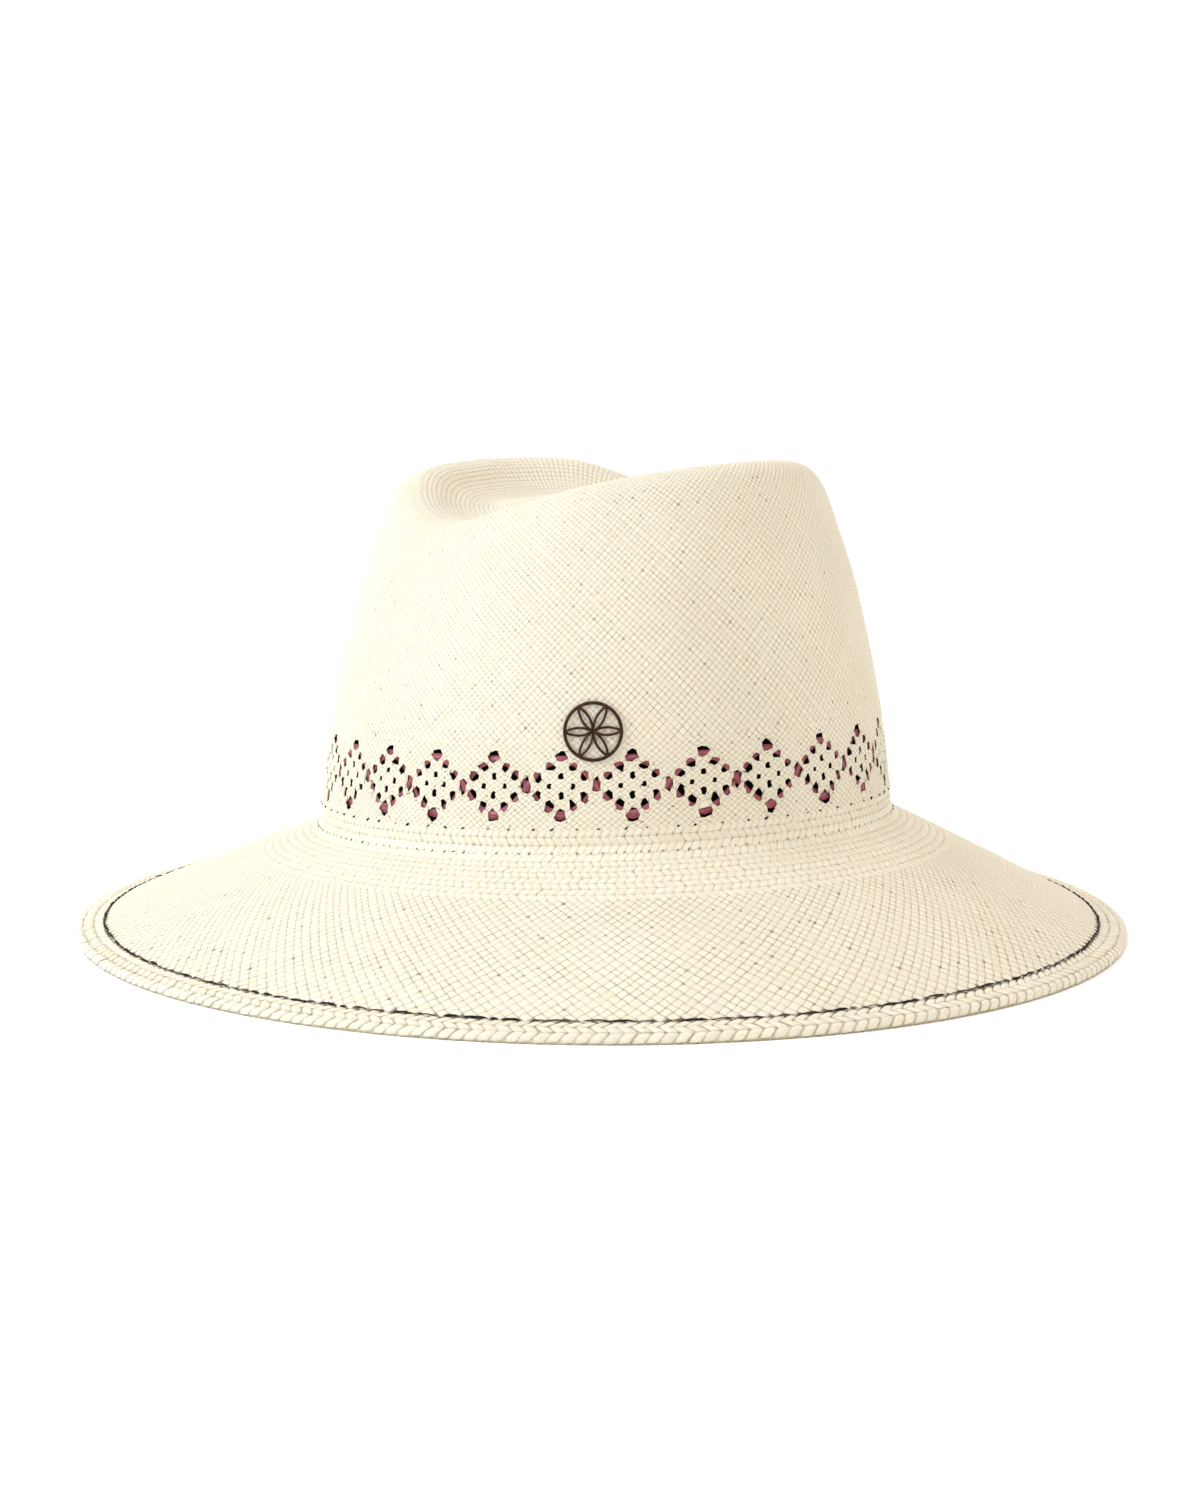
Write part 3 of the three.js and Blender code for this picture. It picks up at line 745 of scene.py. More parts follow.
def straw_sheet(name, light, dark):
    """The inner side of the same woven straw: the two slants show as a flat checker with darker joints. Faces marked as
    lying under the weave get painted shade, much darker, which shows in the gaps between the tiles.
    """
    material, tree, shader = new_material(name, 0.66, Specular_IOR_Level=0.25)
    rows = add_node(tree, "ShaderNodeUVMap", uv_map="Rows")
    turned = add_node(
        tree,
        "ShaderNodeMapping",
        values={"Rotation": (0, 0, math.radians(45)), "Scale": (math.sqrt(2), math.sqrt(2), 1)},
        links={"Vector": rows.outputs["UV"]},
    )
    checker = add_node(
        tree,
        "ShaderNodeTexChecker",
        values={"Scale": 1.0, "Color1": linear(light), "Color2": linear(dark)},
        links={"Vector": turned.outputs["Vector"]},
    )
    cell = add_node(tree, "ShaderNodeVectorMath", operation="FRACTION", links={0: turned.outputs["Vector"]})
    middle = add_node(
        tree, "ShaderNodeVectorMath", operation="DISTANCE", values={1: (0.5, 0.5, 0)}, links={0: cell.outputs["Vector"]}
    )
    joint = add_node(
        tree,
        "ShaderNodeMapRange",
        values={"From Min": 0.3, "From Max": 0.68, "To Min": 1.0, "To Max": 0.55},
        links={"Value": middle.outputs["Value"]},
    )
    # Painted shade: faces under the weave are darkened to 0.3, for the shade in the gaps between the tiles.
    shade_under_weave = add_node(tree, "ShaderNodeAttribute", attribute_name="shade_under_weave")
    painted_shade = add_node(
        tree, "ShaderNodeMapRange", values={"To Min": 1.0, "To Max": 0.3}, links={"Value": shade_under_weave.outputs["Fac"]}
    )
    tone = add_node(tree, "ShaderNodeMath", operation="MULTIPLY", links={0: joint.outputs[0], 1: painted_shade.outputs[0]})
    toned = add_node(
        tree, "ShaderNodeVectorMath", operation="SCALE", links={0: checker.outputs["Color"], "Scale": tone.outputs[0]}
    )
    bump = add_node(
        tree, "ShaderNodeBump", values={"Strength": 0.7, "Distance": 0.0003}, links={"Height": joint.outputs[0]}
    )
    tree.links.new(toned.outputs["Vector"], shader.inputs["Base Color"])
    tree.links.new(bump.outputs["Normal"], shader.inputs["Normal"])
    return material


def dyed_straw(name, code):
    """The same straw dyed in the piece: satin, with darker streaks and pale streaks along its fibres; the pale streaks
    are painted highlights.
    """
    material, tree, shader = new_material(name, 0.42, Specular_IOR_Level=0.4)
    fibre = add_node(tree, "ShaderNodeUVMap", uv_map="Fibre")
    # Streaks are about 0.35 mm wide across the straw and 5 mm long.
    stretch = add_node(
        tree, "ShaderNodeMapping", values={"Scale": (0.2, 2.8, 1)}, links={"Vector": fibre.outputs["UV"]}
    )
    streaks = add_node(
        tree,
        "ShaderNodeTexNoise",
        values={"Scale": 1.0, "Detail": 3.0, "Roughness": 0.6},
        links={"Vector": stretch.outputs["Vector"]},
    )
    colour = add_node(tree, "ShaderNodeValToRGB", links={"Fac": streaks.outputs["Fac"]})
    # Painted highlight: the pale stop B9787C lights the palest streaks.
    ramp(colour, [(0.3, "4E1F28"), (0.54, code), (0.72, "B9787C")])
    tree.links.new(colour.outputs["Color"], shader.inputs["Base Color"])
    bump = add_node(
        tree, "ShaderNodeBump", values={"Strength": 0.5, "Distance": 0.0001}, links={"Height": streaks.outputs["Fac"]}
    )
    tree.links.new(bump.outputs["Normal"], shader.inputs["Normal"])
    return material


def ribbed_ribbon(name, code):
    """Grosgrain ribbon, woven with thick weft ribs: matte, with ribs 1.1 mm apart that run across the ribbon."""
    material, tree, shader = new_material(name, 0.86, Specular_IOR_Level=0.2)
    place = add_node(tree, "ShaderNodeTexCoord")
    split = add_node(tree, "ShaderNodeSeparateXYZ", links={"Vector": place.outputs["Object"]})
    turn = add_node(
        tree, "ShaderNodeMath", operation="ARCTAN2", links={0: split.outputs["Y"], 1: split.outputs["X"]}
    )
    ribs = add_node(tree, "ShaderNodeMath", operation="MULTIPLY", values={1: 520.0}, links={0: turn.outputs[0]})
    wave = add_node(tree, "ShaderNodeMath", operation="SINE", links={0: ribs.outputs[0]})
    colour = add_node(tree, "ShaderNodeValToRGB", links={"Fac": wave.outputs[0]})
    ramp(colour, [(0.0, "0B0A08"), (1.0, code)])
    tree.links.new(colour.outputs["Color"], shader.inputs["Base Color"])
    bump = add_node(
        tree, "ShaderNodeBump", values={"Strength": 0.6, "Distance": 0.0002}, links={"Height": wave.outputs[0]}
    )
    tree.links.new(bump.outputs["Normal"], shader.inputs["Normal"])
    return material


def patinated_bronze(name, code):
    """Cast bronze with a dark brown patina: a little lighter in clouds, uneven in gloss."""
    material, tree, shader = new_material(name, 0.38, Metallic=0.85)
    place = add_node(tree, "ShaderNodeTexCoord")
    cloud = add_node(
        tree, "ShaderNodeTexNoise", values={"Scale": 700.0, "Detail": 4.0}, links={"Vector": place.outputs["Object"]}
    )
    colour = add_node(tree, "ShaderNodeValToRGB", links={"Fac": cloud.outputs["Fac"]})
    ramp(colour, [(0.35, code), (0.75, "4E3226")])
    gloss = add_node(
        tree, "ShaderNodeMapRange", values={"To Min": 0.12, "To Max": 0.36}, links={"Value": cloud.outputs["Fac"]}
    )
    bump = add_node(
        tree, "ShaderNodeBump", values={"Strength": 0.3, "Distance": 0.0001}, links={"Height": cloud.outputs["Fac"]}
    )
    tree.links.new(colour.outputs["Color"], shader.inputs["Base Color"])
    tree.links.new(gloss.outputs[0], shader.inputs["Roughness"])
    tree.links.new(bump.outputs["Normal"], shader.inputs["Normal"])
    return material


def spun_thread(name, code):
    """Black cotton thread, spun of fine fibres: matte, a little grey where the fibres stand up."""
    material, tree, shader = new_material(name, 0.9, Specular_IOR_Level=0.15)
    place = add_node(tree, "ShaderNodeTexCoord")
    fluff = add_node(
        tree, "ShaderNodeTexNoise", values={"Scale": 2200.0, "Detail": 2.0}, links={"Vector": place.outputs["Object"]}
    )
    colour = add_node(tree, "ShaderNodeValToRGB", links={"Fac": fluff.outputs["Fac"]})
    ramp(colour, [(0.35, code), (0.8, "3A3538")])
    tree.links.new(colour.outputs["Color"], shader.inputs["Base Color"])
    return material


def white_paper(name, code):
    """Matte white studio paper."""
    material, tree, shader = new_material(name, 1.0, Specular_IOR_Level=0.0)
    place = add_node(tree, "ShaderNodeTexCoord")
    tooth = add_node(
        tree, "ShaderNodeTexNoise", values={"Scale": 6.0, "Detail": 2.0}, links={"Vector": place.outputs["Object"]}
    )
    colour = add_node(tree, "ShaderNodeValToRGB", links={"Fac": tooth.outputs["Fac"]})
    ramp(colour, [(0.0, "FCFCFC"), (1.0, code)])
    tree.links.new(colour.outputs["Color"], shader.inputs["Base Color"])
    return material


def material_of(name, make, *settings):
    """The material of that name, made once."""
    return bpy.data.materials.get(name) or make(name, *settings)


def straw_material():
    """Straw of the wall, the band, the top and the brim."""
    looks = bpy.context.scene.straw_looks
    colours = [looks.straw_light, looks.straw_warm, looks.straw_pale, looks.straw_green, looks.straw_pink]
    return material_of("palm_straw_woven", woven_straw, colours, looks.border_shade, 0.5)


def plait_material():
    """Straw of the plaited rows at the feet of crown and brim, whose painted shade at the joints is lighter."""
    looks = bpy.context.scene.straw_looks
    colours = [looks.straw_light, looks.straw_warm, looks.straw_pale, looks.straw_green]
    return material_of("palm_straw_crossed", woven_straw, colours, looks.border_shade + 0.26, 0.5)


def braid_material():
    """Straw of the braided edge."""
    looks = bpy.context.scene.straw_looks
    colours = [looks.straw_warm, looks.straw_green, looks.straw_pale, looks.straw_warm]
    return material_of("palm_straw_plaited", woven_straw, colours, looks.border_shade, 0.6)


def sheet_material():
    """Straw of the sheets under the weave."""
    return material_of("palm_straw_inner_side", straw_sheet, "E2D9BC", "D3C8A6")


class WeaveSizes(bpy.types.PropertyGroup):
    """Sizes of the weave that a user would change."""

    relief: bpy.props.FloatProperty(
        name="Relief",
        description="Height of a straw over the weave's middle, in millimetres",
        default=0.23,
        min=0.02,
        max=0.5,
    )
    tuck: bpy.props.FloatProperty(
        name="Tuck",
        description="Share of a cell that a straw runs on under its neighbour",
        default=0.19,
        min=0,
        max=0.4,
    )
    side_lap: bpy.props.FloatProperty(
        name="Side lap",
        description="Share of a cell by which a straw's sides pass their border",
        default=0.025,
        min=0,
        max=0.2,
    )
    loose: bpy.props.FloatProperty(
        name="Loose corners",
        description="Share of the weave's corners that stand a little open",
        default=0.035,
        min=0,
        max=1,
    )
    stray: bpy.props.FloatProperty(
        name="Stray",
        description="Share of a cell by which straws stray from their lines",
        default=0.12,
        min=0,
        max=0.3,
    )


class StrawLooks(bpy.types.PropertyGroup):
    """Colours of the hat, as sRGB hex values."""

    straw_light: bpy.props.StringProperty(name="Light straw", description="Bleached straw", default="DFD7C2")
    straw_warm: bpy.props.StringProperty(name="Warm straw", description="Straw with a yellow cast", default="DED4BB")
    straw_pale: bpy.props.StringProperty(name="Pale straw", description="Plain pale straw", default="DFD8C4")
    straw_green: bpy.props.StringProperty(name="Green straw", description="Straw cut young", default="DBD6C0")
    straw_pink: bpy.props.StringProperty(name="Pink straw", description="Straw with a pink cast", default="DFD5C0")
    # Painted shade: the tone that a straw's colour darkens to at its borders, where it dives under its neighbour.
    border_shade: bpy.props.FloatProperty(
        name="Border shade",
        description="Tone where a straw dives under its neighbour",
        default=0.5,
        min=0,
        max=1,
    )
    burgundy: bpy.props.StringProperty(name="Burgundy", description="Dyed straw of the band", default="8F424D")
    ribbon: bpy.props.StringProperty(name="Ribbon", description="Sweatband", default="1A1815")
    bronze: bpy.props.StringProperty(name="Bronze", description="Badge", default="2A1A14")
    thread: bpy.props.StringProperty(name="Thread", description="Line along the brim's edge", default="16131A")


class StageSizes(bpy.types.PropertyGroup):
    """Light of the studio."""

    key_power: bpy.props.FloatProperty(
        name="Key light", description="Power of the large soft light at the left", default=36.0, unit="POWER"
    )
    sky: bpy.props.FloatProperty(name="Fill", description="Strength of the white room", default=1.1, min=0, max=3)


class HAT_OT_crown_weave(bpy.types.Operator):
    """Weave the crown's wall above its pierced band"""

    bl_idname = "hat.crown_weave"
    bl_label = "Weave the crown"

    def execute(self, context):
        sizes = context.scene.weave_sizes
        mesh = weave("woven_wall", crown, lambda row: row, BAND_TOP_ROW + 0.5, RIDGE_ROW + 1.2, 11, sizes)
        place_piece(mesh, "woven_wall", straw_material(), ["crown"])
        mesh = ring_weave("woven_top", crown, RIDGE_ROW + 0.6, TOP_ROWS - 1, 12, sizes)
        place_piece(mesh, "woven_top", straw_material())
        return {"FINISHED"}


class HAT_OT_band(bpy.types.Operator):
    """Weave the band of pierced diamonds and the plaited rows under it"""

    bl_idname = "hat.band"
    bl_label = "Weave the pierced band"

    def execute(self, context):
        sizes = context.scene.weave_sizes
        mesh = weave("woven_band", crown, lambda row: row, -BAND_TOP_ROW, BAND_TOP_ROW, 21, sizes, gaps=True)
        place_piece(mesh, "woven_band", straw_material())
        step = (-BAND_TOP_ROW - CREASE_ROW) / FOOT_ROWS
        rows = [(CREASE_ROW + k * step, CREASE_ROW + (k + 1) * step) for k in range(FOOT_ROWS)]
        mesh = herringbone("plaited_foot", crown, rows, STRAWS, 22, 1.3 * sizes.relief, 0.6, 0.15)
        place_piece(mesh, "plaited_foot", plait_material())
        return {"FINISHED"}


class HAT_OT_straw_sheets(bpy.types.Operator):
    """Lay the straw sheets that carry the weave and show inside the hat"""

    bl_idname = "hat.straw_sheets"
    bl_label = "Lay the straw sheets"

    def execute(self, context):
        depth = (0.32, STRAW_THICKNESS - 0.3)
        around = 6 * DIAMONDS
        wall_rows = np.linspace(BAND_TOP_ROW - 0.6, RIDGE_ROW, 36)
        top_rows = RIDGE_ROW + np.linspace(1.2, TOP_ROWS - 0.8, 22)
        rows = np.concatenate([wall_rows, top_rows])
        mesh = sheet_between("crown_sheet", crown, rows, depth, around, pole=True)
        place_piece(mesh, "crown_sheet", sheet_material())
        rows = np.linspace(CREASE_ROW, -BAND_TOP_ROW + 0.4, 7)
        mesh = sheet_between("foot_sheet", crown, rows, depth, around)
        place_piece(mesh, "foot_sheet", sheet_material())
        slope, crease = np.linspace(1 - EDGE_SHARE - 0.01, 0.94, 20), np.linspace(0.955, CREASE_INWARD, 6)
        mesh = sheet_between("brim_sheet", brim, np.concatenate([slope, crease]), depth, STRAWS)
        place_piece(mesh, "brim_sheet", sheet_material(), ["brim"])
        return {"FINISHED"}


class HAT_OT_brim_weave(bpy.types.Operator):
    """Weave the brim's upper face"""

    bl_idname = "hat.brim_weave"
    bl_label = "Weave the brim"

    def execute(self, context):
        sizes = context.scene.weave_sizes
        rows = np.linspace(CREASE_INWARD, 1 - BRIM_FOOT_SHARE, BRIM_FOOT_ROWS + 1)
        rows = list(zip(rows[1:], rows[:-1]))
        mesh = herringbone("plaited_brim_foot", brim, rows, STRAWS, 31, 0.9 * sizes.relief, 0.5, 0.13)
        place_piece(mesh, "plaited_brim_foot", plait_material())
        out = np.linspace(BRIM_FOOT_SHARE, EDGE_SHARE, 200)
        radius = (HEAD_LENGTH + HEAD_WIDTH) / 4 + out * (RIM_WIDTH - HEAD_WIDTH) / 2
        step = 1.1 * np.diff(radius) / (2 * np.pi * (radius[1:] + radius[:-1]) / 2 / STRAWS)
        count = np.concatenate([[0], np.cumsum(step)])

        def inward(row):
            past = out[0] - row * (out[1] - out[0]) / (count[1] - count[0])
            return 1 - np.where(row > 0, past, np.interp(-row, count, out))

        mesh = weave("woven_brim", brim, inward, -count[-1] + 0.2, 0.5, 32, sizes)
        place_piece(mesh, "woven_brim", straw_material())
        return {"FINISHED"}


class HAT_OT_edge(bpy.types.Operator):
    """Plait the brim's edge round its core"""

    bl_idname = "hat.edge"
    bl_label = "Plait the edge"

    def execute(self, context):
        rows = [(0.64, 1.0), (0.3, 0.66), (-0.05, 0.32)]
        mesh = herringbone("plaited_edge", edge, rows, EDGE_LEAVES, 41, 0.4, 0.75, 0.38, fine=5, tuck=0.12)
        place_piece(mesh, "plaited_edge", braid_material(), ["edge_braid"])
        columns = EDGE_LEAVES
        share = np.arange(columns) / columns
        angle = angle_at(share)
        outside = [
            lifted(edge, share, np.full(columns, u), np.full(columns, -0.45))[0] for u in np.linspace(1, 0, 14)
        ]
        inset = 2 * REST_WIDTH
        under = brim(share, np.full(columns, 1 - EDGE_SHARE))
        under[:, 2] -= EDGE_THICKNESS - 0.2
        inside = [
            under,
            oval(angle, RIM_LENGTH - inset, RIM_WIDTH - inset, 0.0),
            oval(angle, RIM_LENGTH - 1.4, RIM_WIDTH - 1.4, 0.0),
        ]
        # The rings run from the brim over the top to the floor, so the wall faces out in that order.
        mesh, corners = closed_wall("edge_core", outside[::-1], inside[::-1], columns)
        rings = len(outside) + len(inside)
        ups = np.linspace(0, rings, rings)
        grid = np.stack(np.broadcast_arrays((share * STRAWS)[None, :], ups[:, None]), -1).reshape(-1, 2)
        add_map(mesh, corners, "Rows", grid)
        place_piece(mesh, "edge_core", sheet_material())
        return {"FINISHED"}


def tubes(paths, radii, sides):
    """Closed tubes along paths; axes of paths are tube, step, coordinate. Both ends are drawn to a point."""
    count, steps, _ = paths.shape
    along = np.gradient(paths, axis=1)
    along /= np.linalg.norm(along, axis=-1, keepdims=True)
    side = np.cross(along, [0.0, 0.0, 1.0])
    side /= np.linalg.norm(side, axis=-1, keepdims=True)
    up = np.cross(side, along)
    turn = np.arange(sides) * 2 * np.pi / sides
    ring = side[:, :, None] * np.cos(turn)[:, None] + up[:, :, None] * np.sin(turn)[:, None]
    points = paths[:, :, None] + ring * radii[:, :, None, None]
    index = np.arange(count * steps * sides).reshape(count, steps, sides)
    after = np.roll(index, -1, axis=2)
    quads = np.stack([index[:, :-1], after[:, :-1], after[:, 1:], index[:, 1:]], -1).reshape(-1, 4)
    ends = count * steps * sides + np.arange(2 * count)
    first = np.repeat(ends[:count, None], sides, 1)
    final = np.repeat(ends[count:, None], sides, 1)
    caps = np.concatenate(
        [
            np.stack([after[:, 0], index[:, 0], first], -1).reshape(-1, 3),
            np.stack([index[:, -1], after[:, -1], final], -1).reshape(-1, 3),
        ]
    )
    points = np.concatenate([points.reshape(-1, 3), paths[:, 0], paths[:, -1]])
    return points, [quads[:, ::-1], caps[:, ::-1]]


class HAT_OT_thread_line(bpy.types.Operator):
    """Stitch the black thread along the brim's edge and prick the needle holes"""

    bl_idname = "hat.thread_line"
    bl_label = "Stitch the thread line"

    def execute(self, context):
        rng = np.random.default_rng(51)
        looks = context.scene.straw_looks
        starts, lengths, place = [], [], 0.0
        while place < 1:
            # The line is closest at the hat's two sides and most broken between them.
            open_ = math.cos(2 * math.pi * place + math.radians(40)) ** 2
            length = rng.uniform(0.0022, 0.0085)
            starts.append(place)
            lengths.append(length)
            place += length + rng.uniform(-0.0009, 0.0001 + 0.0038 * open_)
        starts, lengths = np.array(starts), np.array(lengths)
        steps = 9
        t = np.linspace(0, 1, steps)
        share = starts[:, None] + lengths[:, None] * t
        shift = rng.uniform(-0.0035, 0.0035, (len(starts), 1)) + rng.normal(0, 0.0012, share.shape)
        radii = rng.uniform(0.14, 0.4, (len(starts), 1)) * (0.25 + 0.75 * np.sin(np.pi * t) ** 0.5)
        radii = radii * rng.uniform(0.8, 1.15, share.shape)
        lift = 0.42 * np.sin(np.pi * t) ** 0.6 - 0.12
        paths, _ = lifted(brim, share, 1 - (EDGE_SHARE - 0.006) + shift, np.broadcast_to(lift, share.shape))
        points, faces = tubes(paths, radii, 6)
        mesh, _ = new_mesh("thread_line", points, faces)
        thread = material_of("cotton_thread_spun", spun_thread, looks.thread)
        place_piece(mesh, "thread_line", thread)
        holes = []
        for count, row, size in ((6 * DIAMONDS, CREASE_ROW + 0.1, 0.32), (3 * DIAMONDS, -BAND_TOP_ROW, 0.62)):
            share = (np.arange(count) + rng.uniform(-0.2, 0.2, count)) / count
            long = size * rng.uniform(0.6, 1.25, count) / 600
            lean = rng.uniform(-0.1, 0.25, count)
            t = np.linspace(-1, 1, 4)
            path, _ = lifted(
                crown, share[:, None] + long[:, None] * t, row + lean[:, None] * t, np.full((count, 4), 0.1)
            )
            thick = size * 0.5 * rng.uniform(0.6, 1.2, (count, 1)) * np.array([0.3, 1, 1, 0.3])
            holes.append(tubes(path, thick, 5))
        base = len(holes[0][0])
        points = np.concatenate([holes[0][0], holes[1][0]])
        faces = holes[0][1] + [face + base for face in holes[1][1]]
        mesh, _ = new_mesh("needle_holes", points, faces)
        place_piece(mesh, "needle_holes", thread)
        return {"FINISHED"}


# Coloured straw: share of a diamond from its middle, rows above the band's middle, rows below it.
ZIGZAG = [(0, 3.95, 4.4), (0.167, 3.75, 3.85), (0.333, 2.3, 2.35), (0.5, 0, 0)]


def zigzag(first):
    """Way of a coloured straw round the band: share round, rows from the band's middle."""
    steps = np.linspace(0, DIAMONDS, DIAMONDS * 24, endpoint=False)
    across = np.abs((steps + 0.5) % 1 - 0.5)
    above = (np.floor(steps + 0.5) + first) % 2 == 0
    row = np.where(above, smooth_table(ZIGZAG, across), -smooth_table(ZIGZAG, across, 2))
    return (steps + BAND_PHASE) / DIAMONDS, row


def flat_ring(name, share, row, width, depth, thickness):
    """A flat straw that runs once round the crown: its section is a thin rectangle."""
    sections = []
    slope = 0.5 * width / BAND_ROW
    for edge_side, deep in ((-1, depth), (1, depth), (1, depth + thickness), (-1, depth + thickness)):
        sections.append(lifted(crown, share, row + edge_side * slope, np.full(len(share), -deep))[0])
    mesh, corners = closed_wall(name, sections[:2], sections[:1:-1], len(share))
    # Millimetres along the straw and across it; the rings run over its outer face and back over its inner one.
    across = np.repeat(np.array([0, 1, 1, 0]) * width, len(share))
    add_map(mesh, corners, "Fibre", np.stack([np.tile(share, 4) * STRAWS * STRAW_PITCH, across], -1))
    return mesh


class HAT_OT_coloured_straws(bpy.types.Operator):
    """Run the two burgundy straws in a zigzag behind the openwork"""

    bl_idname = "hat.coloured_straws"
    bl_label = "Run the coloured straws"

    def execute(self, context):
        dyed = material_of("palm_straw_dyed", dyed_straw, context.scene.straw_looks.burgundy)
        for first, letter, depth in ((0, "a", 0.34), (1, "b", 0.72)):
            share, row = zigzag(first)
            name = "coloured_straw_" + letter
            mesh = flat_ring(name, share, row, 1.25 * STRAND_WIDTH, depth, 0.3)
            place_piece(mesh, name, dyed, ["zigzag_strand_" + letter])
        return {"FINISHED"}


def deselect():
    """Leaves edit mode and selects nothing, so that the next operator acts on its own piece alone."""
    if bpy.context.object and bpy.context.object.mode != "OBJECT":
        bpy.ops.object.mode_set(mode="OBJECT")
    bpy.ops.object.select_all(action="DESELECT")


def apply_modifiers(piece):
    """Applies all modifiers of a piece."""
    deselect()
    bpy.context.view_layer.objects.active = piece
    piece.select_set(True)
    for modifier in list(piece.modifiers):
        bpy.ops.object.modifier_apply(modifier=modifier.name)


def sort_mesh(mesh):
    """Puts points and faces in order of place, because an extrusion leaves them in another order each run."""
    points = [tuple(vertex.co) for vertex in mesh.vertices]
    order = sorted(range(len(points)), key=points.__getitem__)
    rank = {old: new for new, old in enumerate(order)}
    faces = []
    for polygon in mesh.polygons:
        corners = [rank[n] for n in polygon.vertices]
        least = corners.index(min(corners))
        faces.append(corners[least:] + corners[:least])
    mesh.clear_geometry()
    mesh.from_pydata([points[n] for n in order], [], sorted(faces))


class HAT_OT_sweatband(bpy.types.Operator):
    """Fit the ribbon sweatband inside the crown"""

    bl_idname = "hat.sweatband"
    bl_label = "Fit the sweatband"

    def execute(self, context):
        deselect()
        depth = STRAW_THICKNESS + 2 * STRAND_THICKNESS + 3 * GAP
        heights = np.array([GAP, 8.0, 16.0, 25.0, SWEATBAND_HEIGHT - 0.8, SWEATBAND_HEIGHT])
        pull = np.array([0.0, 0.0, 0.0, 0.0, 0.0, 0.35])
        reach = smooth_table(CROWN_WALL, heights / CROWN_HEIGHT / MEAN_RIDGE)
        half = np.stack([HEAD_WIDTH / 2 * reach - depth - pull, HEAD_LENGTH / 2 * reach - depth - pull], -1) / 1000
        bpy.ops.mesh.primitive_circle_add(vertices=180, radius=1.0, location=(0, 0, heights[0] / 1000))
        ribbon = context.object
        ribbon.scale = (half[0, 0], half[0, 1], 1)
        bpy.ops.object.transform_apply(location=True, rotation=True, scale=True)
        bpy.ops.object.mode_set(mode="EDIT")
        bpy.ops.mesh.select_all(action="SELECT")
        for k in range(1, len(heights)):
            step = (heights[k] - heights[k - 1]) / 1000
            bpy.ops.mesh.extrude_region_move(TRANSFORM_OT_translate={"value": (0, -step * LEAN, step)})
            middle = (0, -(heights[k] - heights[0]) / 1000 * LEAN, heights[k] / 1000)
            grow = (half[k, 0] / half[k - 1, 0], half[k, 1] / half[k - 1, 1], 1)
            bpy.ops.transform.resize(value=grow, center_override=middle)
        bpy.ops.mesh.select_all(action="SELECT")
        bpy.ops.mesh.normals_make_consistent(inside=False)
        bpy.ops.object.mode_set(mode="OBJECT")
        sort_mesh(ribbon.data)
        ribbon.modifiers.new("Thickness", "SOLIDIFY")
        ribbon.modifiers["Thickness"].thickness = SWEATBAND_THICKNESS / 1000
        ribbon.modifiers["Thickness"].offset = -1
        apply_modifiers(ribbon)
        tilt = Matrix.Rotation(math.radians(-CREASE_TILT), 4, "X")
        ribbon.data.transform(Matrix.Translation((0, -CROWN_FORWARD / 1000, CREASE_HEIGHT / 1000)) @ tilt)
        ribbon.data.shade_smooth()
        cloth = material_of("grosgrain_ribbon_woven", ribbed_ribbon, context.scene.straw_looks.ribbon)
        place_piece(ribbon, "ribbon_sweatband", cloth, ["sweatband"])
        return {"FINISHED"}


def wall_place(angle, height, out):
    """Matrix that lays a flat piece on the crown's wall: x round, y up, z out."""
    angles = np.array([angle - 1.0, angle + 1.0, angle, angle])
    heights = np.array([height, height, height - 1, height + 1])
    left, right, low, high = wall(angles, heights)
    normal = np.cross(right - left, high - low)
    normal = Vector(normal).normalized()
    up = (Vector((0, 0, 1)) - normal * normal.z).normalized()
    round_ = up.cross(normal)
    point = Vector(wall(np.array([angle]), np.array([height]))[0]) + normal * out
    place = Matrix((round_, up, normal)).transposed().to_4x4()
    place.translation = point / 1000
    tilt = Matrix.Rotation(math.radians(-CREASE_TILT), 4, "X")
    return Matrix.Translation((0, -CROWN_FORWARD / 1000, CREASE_HEIGHT / 1000)) @ tilt @ place


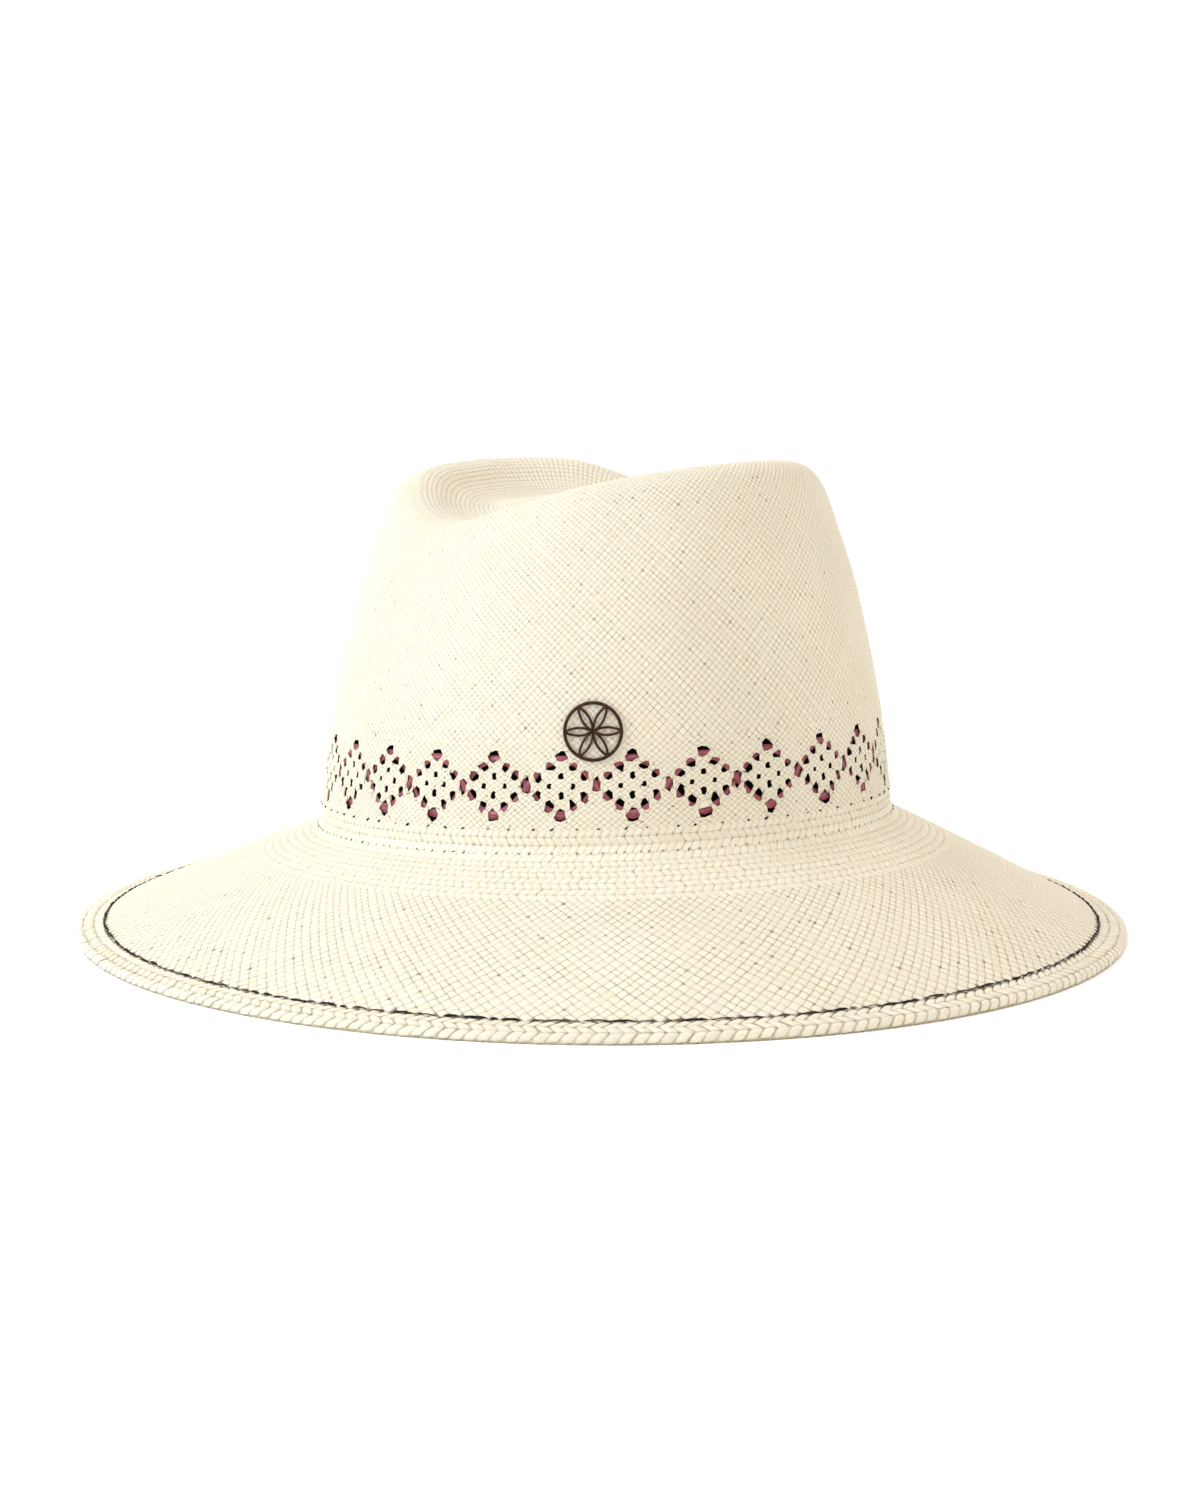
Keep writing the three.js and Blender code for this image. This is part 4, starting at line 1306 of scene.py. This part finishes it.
class HAT_OT_badge(bpy.types.Operator):
    """Make the openwork badge: a ring round a rosette of six crossing arcs"""

    bl_idname = "hat.badge"
    bl_label = "Make the badge"

    def execute(self, context):
        deselect()
        radius = (BADGE_DIAMETER - BADGE_BAR) / 2000
        bar = BADGE_BAR / 2000
        bpy.ops.mesh.primitive_torus_add(
            major_radius=radius, minor_radius=bar, major_segments=64, minor_segments=12, location=(0, 0, 0)
        )
        parts = [context.object]
        for k in range(PETALS):
            turn = 2 * math.pi * k / PETALS
            middle = Vector((math.cos(turn), math.sin(turn), 0)) * radius
            bpy.ops.mesh.primitive_torus_add(
                major_radius=radius,
                minor_radius=0.72 * bar,
                major_segments=72,
                minor_segments=10,
                location=middle,
                rotation=(0, 0, turn),
            )
            arc = context.object
            bpy.ops.object.transform_apply(location=True, rotation=True, scale=True)
            bpy.ops.object.mode_set(mode="EDIT")
            bpy.ops.mesh.select_mode(type="VERT")
            bpy.ops.mesh.select_all(action="DESELECT")
            bpy.ops.object.mode_set(mode="OBJECT")
            for vertex in arc.data.vertices:
                vertex.select = vertex.co.xy.length > radius + 0.2 * bar
            bpy.ops.object.mode_set(mode="EDIT")
            bpy.ops.mesh.delete(type="VERT")
            bpy.ops.mesh.select_all(action="DESELECT")
            bpy.ops.mesh.select_non_manifold()
            bpy.ops.mesh.fill_holes(sides=0)
            bpy.ops.object.mode_set(mode="OBJECT")
            parts.append(arc)
        deselect()
        for part in parts:
            part.select_set(True)
        context.view_layer.objects.active = parts[0]
        bpy.ops.object.join()
        badge = context.object
        badge.data.transform(Matrix.Diagonal((1, 1, BADGE_THICKNESS / BADGE_BAR, 1)))
        badge.data.transform(wall_place(BADGE_ANGLE, BADGE_HEIGHT, GAP + BADGE_THICKNESS / 2))
        badge.data.shade_smooth()
        metal = material_of("bronze_cast_patinated", patinated_bronze, context.scene.straw_looks.bronze)
        place_piece(badge, "openwork_badge", metal, ["badge"])
        return {"FINISHED"}


class HAT_OT_stage(bpy.types.Operator):
    """Set the white floor, the soft light and the camera"""

    bl_idname = "hat.stage"
    bl_label = "Set the stage"

    def execute(self, context):
        deselect()
        stage = context.scene.stage_sizes
        bpy.ops.mesh.primitive_plane_add(size=12, location=(0, 0, 0))
        floor = context.object
        floor.name = "floor"
        floor.data.materials.append(material_of("studio_paper", white_paper, "FFFFFF"))
        world = bpy.data.worlds.new("white_room")
        context.scene.world = world
        world.use_nodes = True
        background = world.node_tree.nodes["Background"]
        background.inputs["Color"].default_value = ROOM_COLOUR
        background.inputs["Strength"].default_value = stage.sky
        turn, climb = math.radians(CAMERA_ROUND), math.radians(CAMERA_UP)
        back = Vector((math.sin(turn) * math.cos(climb), -math.cos(turn) * math.cos(climb), math.sin(climb)))
        right = Vector((math.cos(turn), math.sin(turn), 0))
        target = Vector(VIEW_MIDDLE)
        # Metres to the right, towards the camera and up, the lamp's side in metres, and its power.
        for name, side, front, height, size, power in (
            ("key", -1.9, 0.5, 1.1, 1.4, stage.key_power),
            ("top", -0.4, 0.2, 2.2, 2.4, 0.2 * stage.key_power),
        ):
            place = target + right * side + back * front + Vector((0, 0, height))
            bpy.ops.object.light_add(type="AREA", location=place)
            lamp = context.object
            lamp.name = name + "_light"
            lamp.data.size = size
            lamp.data.energy = power
            lamp.data.color = LAMP_COLOUR
            lamp.rotation_mode = "QUATERNION"
            lamp.rotation_quaternion = (lamp.location - target).to_track_quat("Z", "Y")
        bpy.ops.object.camera_add(location=target + back * CAMERA_DISTANCE)
        camera = context.object
        camera.rotation_mode = "QUATERNION"
        camera.rotation_quaternion = back.to_track_quat("Z", "Y")
        camera.data.sensor_width = 36
        camera.data.lens = CAMERA_LENS
        camera.data.clip_start = 0.01
        context.scene.camera = camera
        context.scene.view_settings.view_transform = "Standard"
        return {"FINISHED"}


class HAT_PT_panel(bpy.types.Panel):
    """Settings and steps of the hat"""

    bl_idname = "HAT_PT_panel"
    bl_label = "Straw fedora"
    bl_space_type = "VIEW_3D"
    bl_region_type = "UI"
    bl_category = "Straw fedora"

    def draw(self, context):
        for group in (context.scene.weave_sizes, context.scene.straw_looks, context.scene.stage_sizes):
            box = self.layout.box()
            for name in group.bl_rna.properties.keys():
                if name not in ("rna_type", "name"):
                    box.prop(group, name)
        for step in STEPS:
            self.layout.operator(step.bl_idname)


STEPS = (
    HAT_OT_stage,
    HAT_OT_straw_sheets,
    HAT_OT_crown_weave,
    HAT_OT_band,
    HAT_OT_brim_weave,
    HAT_OT_edge,
    HAT_OT_thread_line,
    HAT_OT_coloured_straws,
    HAT_OT_sweatband,
    HAT_OT_badge,
)
CLASSES = (WeaveSizes, StrawLooks, StageSizes, *STEPS, HAT_PT_panel)


def register():
    for part in CLASSES:
        bpy.utils.register_class(part)
    bpy.types.Scene.weave_sizes = bpy.props.PointerProperty(type=WeaveSizes)
    bpy.types.Scene.straw_looks = bpy.props.PointerProperty(type=StrawLooks)
    bpy.types.Scene.stage_sizes = bpy.props.PointerProperty(type=StageSizes)


def unregister():
    del bpy.types.Scene.weave_sizes, bpy.types.Scene.straw_looks, bpy.types.Scene.stage_sizes
    for part in reversed(CLASSES):
        bpy.utils.unregister_class(part)


def main():
    register()
    for step in STEPS:
        group, name = step.bl_idname.split(".")
        if getattr(getattr(bpy.ops, group), name)() != {"FINISHED"}:
            raise RuntimeError(step.bl_label + " did not finish")


if __name__ == "__main__":
    main()
